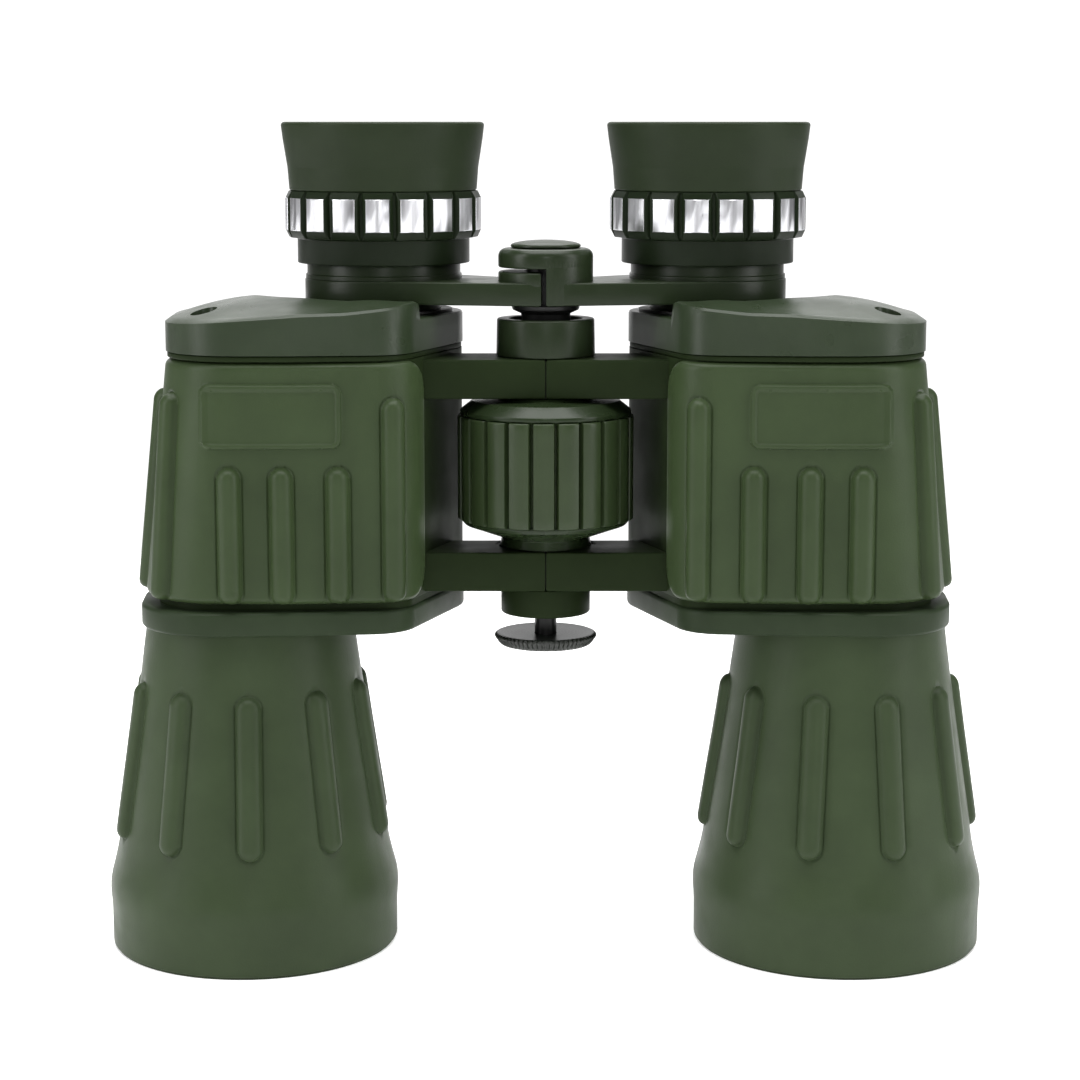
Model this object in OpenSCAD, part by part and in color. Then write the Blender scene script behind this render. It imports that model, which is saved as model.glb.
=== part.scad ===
// Porro-prism 10x50 binoculars, standing on the two objective rims.
// The hinge axis is vertical. The left half is drawn and the right half mirrors it.
// Side parts are drawn with the hinge axis at X = 0, Y = 0, the left half at -X,
// the user's nose and the folding direction at +Y, and the objective rims at Z = 0.

/* [Optical layout] */
// Distance from the hinge axis to an objective axis, along X
objective_x = 63.5; // [63:0.1:64]
// Distance from the hinge axis to an eyepiece axis, along X
eyepiece_x = 34.9; // [34.6:0.1:35.2]
// Distance from the hinge axis to an eyepiece axis, along Y
eyepiece_y = 14; // [13.8:0.1:14.2]
// Clear radius of an objective
aperture_r = 25; // [24:0.5:25]
// Width of a prism across its reflecting faces
prism_width = 17; // [15:0.5:17]
// Free width that a prism passes along its long edge
prism_aperture = 18; // [16:0.5:18]

/* [Objective barrel] */
// Outer radius of the rim
rim_r = 31; // [30.5:0.5:31.5]
// Radius of the mouth inside the rim
mouth_r = 27; // [26.5:0.5:27.5]
// Depth of the mouth
mouth_depth = 6; // [5:0.5:7]
// Height of the barrel, from the rim to the base plate
barrel_h = 71.5; // [70.5:0.5:72]
// Number of grip ribs around a barrel
barrel_ribs = 10; // [8:1:12]
// Turn of the left barrel's ribs, in degrees
left_rib_turn = 4.5; // [0:0.5:35]
// Turn of the right barrel's ribs, in degrees
right_rib_turn = 18; // [0:0.5:35]

/* [Prism housing] */
// Thickness of the rubber armour
armour_t = 2.2; // [2:0.1:2.3]
// Thickness of the cast housing wall
wall_t = 1.8; // [1.6:0.1:1.8]
// Height of the base plate's top face
base_top = 76.5; // [76:0.5:77]
// Height at which the armour starts
armour_low = 78; // [77.5:0.5:78]
// Height at which the armour ends
armour_high = 128; // [127:0.5:128.5]
// Height of the joint between housing and prism cover
cover_low = 129.4; // [129.2:0.2:130]

/* [Hinge and focus] */
// Radius of the hinge knuckles
knuckle_r = 10.4; // [10:0.2:11]
// Radius of the hinge axle
axle_r = 6; // [5.5:0.5:6]
// Radius of the focus shaft that slides in the axle
shaft_r = 4.1; // [3.8:0.1:4.2]
// Largest radius of the focus wheel
wheel_r = 18.85; // [17:0.25:19]
// Number of flutes around the focus wheel
wheel_flutes = 22; // [16:1:24]
// How far the half can fold, in degrees
fold_deg = 40; // [30:1:40]

/* [Eyepiece] */
// Outer radius of the sliding eyepiece tube
tube_r = 12.2; // [12:0.1:12.2]
// Outer radius of the dioptre ring
ring_r = 21.4; // [20.5:0.1:22]
// Number of metal inlays around the dioptre ring
ring_inlays = 18; // [12:2:20]
// Outer radius of the eyecup's rim
eyecup_r = 21.8; // [21:0.1:22.5]
// Height of the eyecup's rim
eyecup_top = 176.4; // [174:0.2:178]

/* [Hidden] */
$fn = 96;
hull_fn = 32;
// Overlap that joins two solids of one piece, and thickness of a hull's thin discs.
eps = 0.02;
// How much a thin disc narrows towards the middle of its hull.
taper = 0.5;
// Radial play of a pair that runs or slides.
run = 0.05;
// Play between two pieces that pass each other end to end.
gap = 0.15;

// The row's origin is under the middle of the whole object's box.
box_front = -rim_r;
box_back = eyepiece_y + eyecup_r;
hinge_y = -(box_front + box_back) / 2;

// Optical geometry: two equal sideways steps at a right angle join the axes.
objective_axis = [-objective_x, 0];
eyepiece_axis = [-eyepiece_x, eyepiece_y];
axis_step = eyepiece_axis - objective_axis;
prism_shift = norm(axis_step) / sqrt(2);
prism_turn = atan2(axis_step[1], axis_step[0]) - 45;
leg_u = [cos(prism_turn), sin(prism_turn)];
middle_axis = objective_axis + prism_shift * leg_u;
prism_half = (prism_shift + prism_aperture) / 2;
prism_corner_r = prism_half + 0.65;
shelf_low = 103;
shelf_high = 107;

// Discs [x, y, radius] whose common hull is the plan of the housing.
armour_low_discs = [[-objective_x, 0, 20.6], [-67.5, -7, 17], [-54, -4, 20],
                    [-37, -12, 10.3], [-eyepiece_x, eyepiece_y, 16.9]];
armour_high_discs = [[-61, 0, 18.2], [-62.5, -7.3, 16.7], [-54, -4, 20],
                     [-37, -12, 10.3], [-eyepiece_x, eyepiece_y, 16.9]];
// The casting lies inside the armour, except for its two inner corners, which the armour leaves bare.
casting_corners = [[-34.7, -12.2, 8.1], [-33.8, 13.6, 15.6]];
casting_low_discs = concat([for (i = [0 : 2]) under_armour(armour_low_discs[i])], casting_corners);
casting_high_discs = concat([for (i = [0 : 2]) under_armour(armour_high_discs[i])], casting_corners);
plate_discs = [[-objective_x, 0, 22.5], [-68, -7.5, 17.5], [-54, -4, 20],
               [-37, -12, 10.3], [-eyepiece_x, eyepiece_y, 16.9]];
inner_wall = 20.8;
armour_stop = 22.2;

// Hinge lugs.
lug_front = 10.5;
lug_back = 6;
lower_lug = [78.5, 86.8];
upper_lug = [119.2, 127.4];
split = 0.3;
knuckle_start = fold_deg + 7;
block_stop = 5;
collar_low = 72.4;
collar_top = 135.4;

// Prism cover.
recess_r = 27;
recess_floor = 136;
guide_top = 136.5;
guide_r = 14.7;
screw_places = [[-70.5, -13.5], [-66.7, 9.9], [-54.8, 15.9]];
screw_seat = 134;

// Bridge, eyepiece and dioptre heights.
arm_low = 138.4;
arm_high = 143.2;
hub_r = 10;
neck_r = 16.8;
neck_top = 150.4;
ring_low = 151.9;
ring_high = 161.7;
skirt_low = 146.4;
inlay_low = 153.5;
inlay_high = 160.3;
inlay_w = 5.75;
inlay_t = 0.25;
block_w = 6.2;
block_face = sqrt(pow(ring_r, 2) - pow(inlay_w / 2, 2)) - inlay_t;
ring_core_r = 19.9;
cell_r = 11.15;
cell_flange_r = 13.5;

// Focus wheel.
wheel_low = lower_lug[1] + gap;
wheel_high = upper_lug[0] - gap;
grip_low = 92.8;
grip_high = 114.9;

// Dust cap on the tripod socket.
cap_r = 11;
cap_low = 65.3;
cap_high = 67.9;
thread_r = 3.1;

// Colours.
armour_green = [0.27, 0.33, 0.20];
metal_green = [0.17, 0.23, 0.15];
black = [0.06, 0.06, 0.06];
silver = [0.78, 0.78, 0.76];
steel = [0.55, 0.55, 0.56];
glass = [0.65, 0.78, 0.80, 0.5];

function under_armour(disc) = [disc[0], disc[1], disc[2] - armour_t];

// ---------- placing ----------

module on_left() {
    translate([0, hinge_y, 0]) children();
}

module on_right() {
    translate([0, hinge_y, 0]) mirror([1, 0, 0]) children();
}

module on_hinge() {
    translate([0, hinge_y, 0]) children();
}

module at_eyepiece() {
    translate(eyepiece_axis) children();
}

module at_objective() {
    translate(objective_axis) children();
}

// ---------- shared shapes ----------

// A ring of rectangular section.
module tube(outer, inner, low, high) {
    translate([0, 0, low])
        difference() {
            cylinder(r = outer, h = high - low);
            translate([0, 0, -1]) cylinder(r = inner, h = high - low + 2);
        }
}

// A round bar along Z from low to high.
module bar(r, low, high) {
    translate([0, 0, low]) cylinder(r = r, h = high - low);
}

// A box given by two opposite corners.
module corner_box(a, b) {
    translate(a) cube(b - a);
}

// A block whose plan is the hull of discs, changing from one set to the other.
module disc_block(low_discs, high_discs, low, high, grow) {
    hull() {
        for (d = low_discs)
            translate([d[0], d[1], low]) low_disc(d[2] + grow);
        for (d = high_discs)
            translate([d[0], d[1], high]) high_disc(d[2] + grow);
    }
}

// Thin discs for hulls, standing on and hanging from Z = 0, tapered so that
// only their large edge shapes the hull.
module low_disc(r) {
    cylinder(r1 = r, r2 = r - taper, h = eps, $fn = hull_fn);
}

module high_disc(r) {
    translate([0, 0, -eps]) cylinder(r1 = r - taper, r2 = r, h = eps, $fn = hull_fn);
}

// A rib with tapered ends, from point a up to point b.
module rib(a, b, r) {
    length = norm(b - a);
    lean = acos((b[2] - a[2]) / length);
    heading = atan2(b[1] - a[1], b[0] - a[0]);
    translate(a) rotate([0, lean, heading]) rotate_extrude($fn = 32)
        polygon([[0, 0], [0.6 * r, 0], [r, 0.8 * r], [r, length - 0.8 * r],
                 [0.6 * r, length], [0, length]]);
}

// Everything beyond a plane that is parallel to the housing's inner wall.
module beyond_wall(distance) {
    rotate([0, 0, prism_turn]) corner_box([-distance, -80, 60], [80, 80, 150]);
}

// ---------- housing ----------

// Plan of the web that joins a hinge lug to the housing's inner wall.
module lug_web() {
    wall_depth = inner_wall + 1;
    front_x = (-wall_depth + leg_u[1] * lug_front) / leg_u[0];
    back_x = (-wall_depth - leg_u[1] * lug_back) / leg_u[0];
    polygon([[-split, -lug_front], [-split, lug_back], [back_x, lug_back], [front_x, -lug_front]]);
}

// Everything from the front split line, anticlockwise, to a ray at an angle.
module open_sector(angle, edge) {
    reach = 60;
    polygon(concat([[-edge, -reach], [-edge, 0]],
                   [for (a = [angle : -(angle + 45) / 4 : -45]) reach * [cos(a), sin(a)]]));
}

// Full-height part of a lug, behind which the other half's knuckle turns.
module lug_block_plan() {
    difference() {
        lug_web();
        intersection() {
            circle(r = knuckle_r + split);
            open_sector(180 - block_stop, split);
        }
        circle(r = axle_r + 2 * split);
    }
}

// Round part of a lug, half as high, that turns about the axle.
module knuckle_plan(bore) {
    difference() {
        circle(r = knuckle_r);
        open_sector(knuckle_start, split);
        circle(r = bore);
    }
}

// The two lugs of one half. The knuckle takes the upper or the lower half of each.
module lugs(knuckle_up, bore) {
    for (lug = [lower_lug, upper_lug]) {
        middle = (lug[0] + lug[1]) / 2;
        low = knuckle_up ? middle + split / 2 : lug[0];
        high = knuckle_up ? lug[1] : middle - split / 2;
        translate([0, 0, lug[0]]) linear_extrude(lug[1] - lug[0]) lug_block_plan();
        translate([0, 0, low]) linear_extrude(high - low) knuckle_plan(bore);
    }
}

// The inside of the casting, slightly smaller or larger by grow.
module casting_room(grow) {
    disc_block(casting_low_discs, casting_high_discs, base_top - 1, cover_low + 1, grow - wall_t);
}

// Threaded bosses for the cover's screws.
module screw_bosses() {
    for (p = screw_places)
        translate(p) bar(3.2, 116, cover_low);
}

module casting(knuckle_up, bore) {
    difference() {
        union() {
            difference() {
                union() {
                    disc_block(casting_low_discs, casting_high_discs, armour_low, cover_low, 0);
                    disc_block(casting_low_discs, casting_low_discs, base_top, armour_low + eps, -0.6);
                }
                casting_room(0);
            }
            intersection() {
                screw_bosses();
                casting_room(0.3);
            }
        }
        for (p = screw_places)
            translate(p) bar(1.25, 118, cover_low + 1);
    }
    lugs(knuckle_up, bore);
}

module left_housing() {
    color(metal_green) casting(true, axle_r);
}

module right_housing() {
    color(metal_green) casting(false, axle_r + run);
}

// Grip ribs of the armour as [bottom, top] points on its surface.
armour_rib_lines = [
    [[-64.8, -23.4, 78.4], [-64.8, -23.4, 106.4]],
    [[-54.1, -23.4, 78.4], [-54.1, -23.4, 106.4]],
    [[-42.6, -22.2, 78.4], [-42.6, -22.2, 106.4]],
    [[-31.5, -20, 78.4], [-31.5, -20, 120.4]],
    [[-78.8, -18.1, 79], [-75.9, -15.6, 121]],
    [[-84, -5, 79], [-78.7, -5, 121]],
    [[-82.1, 7.6, 79], [-77.2, 7.2, 121]],
    [[-72.4, 17.7, 79], [-68.4, 15.7, 106.4]],
    [[-62.2, 22.6, 79], [-59.6, 20.9, 106.4]],
    [[-51.6, 26.3, 79], [-50.4, 25.2, 106.4]],
];

module housing_armour() {
    panel_low = [-69.4, -40, 110.4];
    panel_high = [-41.7, -10, 123.6];
    border = [1, -1, 1];
    color(armour_green)
    difference() {
        union() {
            disc_block(armour_low_discs, armour_high_discs, armour_low, armour_high, 0);
            intersection() {
                disc_block(armour_low_discs, armour_high_discs, armour_low, armour_high, 0.5);
                difference() {
                    corner_box(panel_low, panel_high);
                    corner_box(panel_low + border, panel_high - border);
                }
            }
            for (line = armour_rib_lines)
                rib(line[0], line[1], 2.4);
        }
        disc_block(casting_low_discs, casting_high_discs, armour_low, cover_low, run);
        disc_block(casting_low_discs, casting_low_discs, armour_low - 1, armour_low + eps, run);
        beyond_wall(armour_stop);
    }
}

module base_plate() {
    color(metal_green)
    difference() {
        disc_block(plate_discs, plate_discs, barrel_h, base_top, 0);
        at_objective() bar(objective_spigot_r, barrel_h - 1, base_top + 1);
    }
}

// ---------- prism cover ----------

// The cover's outer form rises from its outer end to its inner front corner.
cover_crease = [134.9, 134.9, 137.2, 139.5, 139.5];
cover_dome = [137.6, 137.6, 139.2, 139.9, 139.9];

module cover_form(grow, drop) {
    discs = armour_high_discs;
    hull() {
        for (d = discs)
            translate([d[0], d[1], cover_low - drop]) low_disc(d[2] + grow);
        for (i = [0 : len(discs) - 1])
            translate([discs[i][0], discs[i][1], cover_crease[i] - drop]) high_disc(discs[i][2] + grow);
        for (i = [0 : len(discs) - 1])
            translate([discs[i][0], discs[i][1], cover_dome[i] - drop]) high_disc(discs[i][2] + grow - 5);
    }
}

module prism_cover() {
    floor_t = 2.2;
    color(metal_green)
    difference() {
        cover_form(0, 0);
        difference() {
            cover_form(-2, floor_t);
            at_eyepiece() bar(recess_r + 1, recess_floor - floor_t, 145);
            for (p = screw_places)
                translate(p) bar(3.4, cover_low, 145);
        }
        at_eyepiece() translate([0, 0, recess_floor]) cylinder(r1 = recess_r, r2 = recess_r + 3, h = 8);
        at_eyepiece() bar(guide_r, cover_low - 1, 145);
        for (p = screw_places) {
            translate(p) bar(1.25, cover_low - 1, 145);
            translate(p) bar(2.7, screw_seat, 145);
        }
    }
}

module cover_screws() {
    color(steel)
    for (p = screw_places)
        translate(p)
            difference() {
                union() {
                    bar(1.25, 119, screw_seat + eps);
                    bar(2.5, screw_seat, screw_seat + 1.6);
                }
                corner_box([-3, -0.4, screw_seat + 0.8], [3, 0.4, screw_seat + 3]);
            }
}

// ---------- prisms ----------

module prism_shelf() {
    color(black)
    difference() {
        intersection() {
            casting_room(-0.05);
            corner_box([-100, -60, shelf_low], [0, 60, shelf_high]);
        }
        for (p = [objective_axis, middle_axis, eyepiece_axis])
            translate(p) bar(prism_aperture / 2, shelf_low - 1, shelf_high + 1);
    }
}

// A right-angle prism, long edge along X, lying on its large face at Z = 0.
module porro_prism() {
    intersection() {
        translate([0, prism_width / 2, 0]) rotate([90, 0, 0]) linear_extrude(prism_width)
            polygon([[-prism_half, 0], [prism_half, 0], [0, prism_half]]);
        translate([0, 0, -1]) cylinder(r = prism_corner_r, h = prism_half + 2);
    }
}

// Places a child on the shelf, over the first sideways step.
module on_shelf() {
    translate(concat((objective_axis + middle_axis) / 2, shelf_high)) rotate([0, 0, prism_turn]) children();
}

// Places a child under the shelf, along the second sideways step.
module under_shelf() {
    translate(concat((middle_axis + eyepiece_axis) / 2, shelf_low))
        rotate([0, 0, prism_turn + 90]) mirror([0, 0, 1]) children();
}

module upper_prism() {
    color(glass) on_shelf() porro_prism();
}

module lower_prism() {
    color(glass) under_shelf() porro_prism();
}

// A spring strap over a prism's edge, with a foot on each side.
module prism_clip() {
    half = prism_width / 2 + 0.05;
    top = prism_half + 0.05;
    sheet = 0.6;
    foot = 3;
    difference() {
        corner_box([-3, -half - sheet, 0], [3, half + sheet, top + sheet]);
        corner_box([-4, -half, -1], [4, half, top]);
    }
    corner_box([-3, half, 0], [3, half + foot, sheet]);
    corner_box([-3, -half - foot, 0], [3, -half, sheet]);
}

module prism_clips() {
    color(steel) {
        on_shelf() prism_clip();
        under_shelf() prism_clip();
    }
}

// ---------- objective ----------

objective_spigot_r = 20;
lens_r = aperture_r + 1.85;
lens_low = 11;
lens_front_r = 140;

// Outer radius and height pairs of the rubber barrel, from the rim up.
barrel_profile = [[rim_r, 0.8], [rim_r, 15], [29.4, 22], [23.7, 59], [22, barrel_h]];
// The metal tube inside it.
tube_profile = [[28.5, mouth_depth], [28.5, 16], [27, 22], [21.3, 59], [20.2, barrel_h]];

function reversed(list) = [for (i = [len(list) - 1 : -1 : 0]) list[i]];

module barrel_armour(turn) {
    rib_low = [27.9, 25.8];
    rib_high = [22.9, 58.3];
    color(armour_green)
    at_objective() {
        rotate_extrude()
            polygon(concat([[mouth_r, 0], [rim_r - 0.8, 0]], barrel_profile,
                           reversed(tube_profile), [[mouth_r, mouth_depth]]));
        intersection() {
            for (i = [0 : barrel_ribs - 1])
                rotate([0, 0, -90 + turn + i * 360 / barrel_ribs])
                    rib([rib_low[0], 0, rib_low[1]], [rib_high[0], 0, rib_high[1]], 2.6);
            difference() {
                bar(rim_r, 20, 65);
                translate([0, 0, 22]) cylinder(r1 = 28, r2 = 22.4, h = 37);
            }
        }
    }
}

module objective_tube() {
    thickness = 1.6;
    inner = [for (p = reversed(tube_profile)) [p[0] - thickness, p[1]]];
    color(black)
    at_objective()
    rotate_extrude()
        polygon(concat(tube_profile, [[objective_spigot_r, barrel_h], [objective_spigot_r, base_top],
                                      [tube_profile[4][0] - thickness, base_top]], inner));
}

// How far a lens surface bulges at a distance r from its axis.
function bulge(r, surface_r) =
    sqrt(pow(surface_r, 2) - pow(r, 2)) - sqrt(pow(surface_r, 2) - pow(lens_r, 2));

module objective_lens() {
    back_r = 220;
    edge = 5;
    steps = 10;
    radii = [for (i = [0 : steps]) lens_r * i / steps];
    front = [for (r = radii) [r, lens_low - bulge(r, lens_front_r)]];
    back = [for (r = radii) [r, lens_low + edge + bulge(r, back_r)]];
    color(glass) at_objective() rotate_extrude() polygon(concat(front, reversed(back)));
}

// The retaining ring bears on the lens along its inner edge.
module objective_retainer() {
    top = lens_low - bulge(aperture_r, lens_front_r) - eps;
    color(black) at_objective() tube(lens_r, aperture_r, top - 2.4, top);
}

// ---------- hinge ----------

module hinge_axle() {
    color(steel)
    on_hinge()
    difference() {
        bar(axle_r, collar_low, 130);
        bar(shaft_r + run, 95, 131);
        bar(thread_r + run, collar_low - 1, 92);
    }
}

module hinge_top_collar() {
    color(metal_green)
    on_hinge()
    difference() {
        bar(10.45, upper_lug[1] + gap, collar_top);
        bar(axle_r, upper_lug[1], 130);
        bar(7.8, 130, collar_top + 1);
    }
}

module hinge_end_collar() {
    color(metal_green) on_hinge() tube(9.55, axle_r, collar_low, lower_lug[0] - gap);
}

// ---------- focus ----------

module focus_wheel_core() {
    color(metal_green)
    on_hinge()
    rotate_extrude()
        polygon([[axle_r + run, wheel_low], [hub_r, wheel_low], [hub_r, 88.9],
                 [wheel_r - 0.9, grip_low - 0.4], [wheel_r - 0.9, grip_low],
                 [wheel_r - 2 - run, grip_low], [wheel_r - 2 - run, grip_high],
                 [wheel_r - 0.9, grip_high], [wheel_r - 0.9, grip_high + 0.4],
                 [hub_r, 118.3], [hub_r, wheel_high], [axle_r + run, wheel_high]]);
}

module focus_wheel_grip() {
    color(armour_green)
    on_hinge()
    difference() {
        tube(wheel_r, wheel_r - 2, grip_low, grip_high);
        for (i = [0 : wheel_flutes - 1])
            rotate([0, 0, i * 360 / wheel_flutes])
                translate([wheel_r + 0.6, 0, 0]) bar(1.3, grip_low - 1, grip_high + 1);
    }
}

module focus_shaft() {
    color(steel) on_hinge() bar(shaft_r, 97, 150.2);
}

module focus_neck_ring() {
    color(black) on_hinge() tube(7.3, shaft_r, 136.4, arm_low - 0.1);
}

module hub_button() {
    color(metal_green)
    on_hinge()
    rotate_extrude()
        polygon(concat([[0, 150.2], [7.4, 150.2]],
                       [for (a = [0 : 15 : 90]) [6.2 + 1.2 * cos(a) - 6.2 * sin(a), 150.9 + 0.9 * sin(a)]]));
}

// Plan of an arm outside the hub, cut back so that the other arm can fold.
module arm_plan() {
    difference() {
        hull() {
            circle(r = hub_r, $fn = hull_fn);
            translate(eyepiece_axis) circle(r = neck_r, $fn = 2 * hull_fn);
        }
        open_sector(90 + fold_deg / 2 + 2, 0.5);
        circle(r = hub_r + split);
        translate(eyepiece_axis) circle(r = tube_r);
    }
}

// The left arm carries the lower half of the hub and holds the focus shaft.
module left_arm() {
    hub_high = 145.3;
    color(metal_green)
    on_hinge() {
        translate([0, 0, arm_low]) linear_extrude(arm_high - arm_low) {
            arm_plan();
            difference() {
                circle(r = hub_r + split + eps);
                open_sector(90 + fold_deg / 2 + 2, 1);
                circle(r = shaft_r);
            }
        }
        translate([0, 0, arm_low]) linear_extrude(hub_high - arm_low)
            difference() {
                circle(r = hub_r);
                open_sector(knuckle_start, 1);
                circle(r = shaft_r);
            }
    }
}

// The right arm carries the disc above and the front block of the hub.
module right_arm() {
    disc_low = 146.1;
    disc_high = 150.1;
    color(metal_green)
    on_hinge() {
        mirror([1, 0, 0]) translate([0, 0, arm_low + 0.05]) linear_extrude(arm_high - arm_low - 0.05) {
            arm_plan();
            intersection() {
                difference() {
                    circle(r = hub_r + split + eps);
                    circle(r = shaft_r + run);
                }
                difference() {
                    square(80, center = true);
                    open_sector(180 - block_stop, 0.1);
                }
            }
        }
        mirror([1, 0, 0]) translate([0, 0, arm_low + 0.05]) linear_extrude(disc_low - arm_low)
            difference() {
                circle(r = hub_r);
                open_sector(180 - block_stop, 0.1);
                circle(r = shaft_r + run);
            }
        rotate_extrude()
            polygon([[shaft_r + run, disc_low], [hub_r, disc_low], [hub_r, disc_high - 1.2],
                     [hub_r - 0.4, disc_high - 0.4], [hub_r - 1.2, disc_high], [shaft_r + run, disc_high]]);
    }
}

// ---------- eyepiece ----------

module eyepiece_guide() {
    color(black)
    at_eyepiece()
    difference() {
        union() {
            bar(12.75, 112, 131);
            bar(guide_r, 131, guide_top);
        }
        bar(tube_r + run, 111, 140);
    }
}

module eyepiece_tube() {
    color(black)
    at_eyepiece()
    difference() {
        union() {
            bar(tube_r, 112, arm_high);
            bar(neck_r, arm_high, neck_top);
        }
        bar(cell_r + run, 111, neck_top + 1);
    }
}

module ocular_cell() {
    inner = cell_r - 0.95;
    color(black)
    at_eyepiece()
    rotate_extrude()
        polygon([[cell_r, 124], [cell_r, 151.8], [cell_flange_r, 151.8], [cell_flange_r, 158.9],
                 [inner - 1, 158.9], [inner - 1, 157.4], [inner, 157.4], [inner, 126],
                 [inner - 2.5, 126], [inner - 2.5, 124]]);
}

// A small lens with one flat side, its curved side towards +Z.
module plano_lens(low, edge, bulge_r) {
    r = cell_r - 0.95;
    color(glass)
    at_eyepiece()
    intersection() {
        bar(r, low, low + 10);
        translate([0, 0, low + edge - sqrt(pow(bulge_r, 2) - pow(r, 2))]) sphere(r = bulge_r);
    }
}

module eye_lens() {
    plano_lens(152.6, 2, 24);
}

module field_lens() {
    plano_lens(131, 2, 22);
}

// Turns a child to each block of the dioptre ring.
module at_blocks(turn) {
    for (i = [0 : ring_inlays - 1])
        rotate([0, 0, -90 + turn + i * 360 / ring_inlays]) children();
}

// A flat-faced block of the ring, bevelled above and below, standing on the core.
module ring_block() {
    root = ring_core_r - 0.3;
    translate([0, block_w / 2, 0]) rotate([90, 0, 0]) linear_extrude(block_w)
        polygon([[root, ring_low], [ring_core_r, ring_low], [block_face, inlay_low - 0.2],
                 [block_face, inlay_high + 0.2], [ring_core_r, ring_high], [root, ring_high]]);
}

module dioptre_ring(turn) {
    skirt_r = 18.5;
    color(metal_green)
    at_eyepiece() {
        rotate_extrude()
            polygon([[neck_r + run, skirt_low], [skirt_r, skirt_low], [skirt_r, ring_low],
                     [ring_core_r, ring_low], [ring_core_r, ring_high], [11, ring_high], [11, 159.05],
                     [cell_flange_r + run, 159.05], [cell_flange_r + run, ring_low + 0.2],
                     [neck_r + run, ring_low + 0.2]]);
        at_blocks(turn) ring_block();
    }
}

module ring_inlays(turn) {
    color(silver)
    at_eyepiece()
    at_blocks(turn)
        corner_box([block_face, -inlay_w / 2, inlay_low], [block_face + inlay_t, inlay_w / 2, inlay_high]);
}

module eyecup() {
    base_r = 20.1;
    wall = 1.7;
    color(armour_green)
    at_eyepiece()
    rotate_extrude()
        polygon([[11.5, ring_high], [base_r, ring_high], [eyecup_r, eyecup_top - 0.8],
                 [eyecup_r - 0.5, eyecup_top], [eyecup_r - wall, eyecup_top],
                 [base_r - wall - 0.6, ring_high + 1.8], [11.5, ring_high + 1.8]]);
}

// ---------- dust cap ----------

module cap_stem() {
    color(black)
    on_hinge() {
        bar(2.33, cap_low + 1, 74);
        bar(thread_r, 74, 84);
    }
}

module cap_head() {
    color(metal_green)
    on_hinge()
    difference() {
        rotate_extrude()
            polygon([[0, cap_low], [cap_r - 1.2, cap_low], [cap_r, cap_high - 0.5],
                     [cap_r - 0.4, cap_high], [0, cap_high]]);
        bar(2.35, cap_low + 1, cap_high + 1);
    }
}

// ---------- nodes ----------

on_left() left_housing();
on_right() right_housing();
on_left() housing_armour();  // left_housing_armour
on_right() housing_armour();  // right_housing_armour
on_left() base_plate();  // left_base_plate
on_right() base_plate();  // right_base_plate
on_left() prism_cover();  // left_prism_cover
on_right() prism_cover();  // right_prism_cover
on_left() cover_screws();  // left_cover_screws
on_right() cover_screws();  // right_cover_screws
on_left() prism_shelf();  // left_prism_shelf
on_right() prism_shelf();  // right_prism_shelf
on_left() upper_prism();  // left_upper_prism
on_right() upper_prism();  // right_upper_prism
on_left() lower_prism();  // left_lower_prism
on_right() lower_prism();  // right_lower_prism
on_left() prism_clips();  // left_prism_clips
on_right() prism_clips();  // right_prism_clips
on_left() barrel_armour(left_rib_turn);  // left_barrel_armour
on_right() barrel_armour(right_rib_turn);  // right_barrel_armour
on_left() objective_tube();  // left_objective_tube
on_right() objective_tube();  // right_objective_tube
on_left() objective_lens();  // left_objective_lens
on_right() objective_lens();  // right_objective_lens
on_left() objective_retainer();  // left_objective_retainer
on_right() objective_retainer();  // right_objective_retainer
on_left() eyepiece_guide();  // left_eyepiece_guide
on_right() eyepiece_guide();  // right_eyepiece_guide
hinge_axle();
hinge_top_collar();
hinge_end_collar();
focus_wheel_core();
focus_wheel_grip();
focus_shaft();
focus_neck_ring();
hub_button();
left_arm();
right_arm();
on_left() eyepiece_tube();  // left_eyepiece_tube
on_right() eyepiece_tube();  // right_eyepiece_tube
on_left() ocular_cell();  // left_ocular_cell
on_right() ocular_cell();  // right_ocular_cell
on_left() eye_lens();  // left_eye_lens
on_right() eye_lens();  // right_eye_lens
on_left() field_lens();  // left_field_lens
on_right() field_lens();  // right_field_lens
on_left() dioptre_ring(0);  // left_dioptre_ring
on_right() dioptre_ring(180 / ring_inlays);  // right_dioptre_ring
on_left() ring_inlays(0);  // left_ring_inlays
on_right() ring_inlays(180 / ring_inlays);  // right_ring_inlays
on_left() eyecup();  // left_eyecup
on_right() eyecup();  // right_eyecup
cap_stem();
cap_head();
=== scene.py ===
import math

import bpy
import numpy as np
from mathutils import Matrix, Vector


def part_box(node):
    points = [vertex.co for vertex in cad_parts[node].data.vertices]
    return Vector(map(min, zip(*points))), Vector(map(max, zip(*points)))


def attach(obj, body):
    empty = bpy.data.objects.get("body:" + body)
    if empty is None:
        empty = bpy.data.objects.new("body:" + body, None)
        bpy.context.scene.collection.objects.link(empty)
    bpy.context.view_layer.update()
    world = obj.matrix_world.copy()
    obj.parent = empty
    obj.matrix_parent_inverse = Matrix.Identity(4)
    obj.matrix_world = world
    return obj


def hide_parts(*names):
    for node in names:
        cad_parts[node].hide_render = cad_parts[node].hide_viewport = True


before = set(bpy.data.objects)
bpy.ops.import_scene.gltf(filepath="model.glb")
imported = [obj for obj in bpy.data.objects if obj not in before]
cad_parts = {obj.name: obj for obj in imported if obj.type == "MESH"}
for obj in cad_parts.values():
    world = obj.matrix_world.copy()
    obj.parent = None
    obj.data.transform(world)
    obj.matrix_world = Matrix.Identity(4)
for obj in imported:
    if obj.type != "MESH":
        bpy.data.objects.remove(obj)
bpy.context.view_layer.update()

MM = 0.001


# ---------- places taken from the frame, in millimetres ----------

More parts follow.
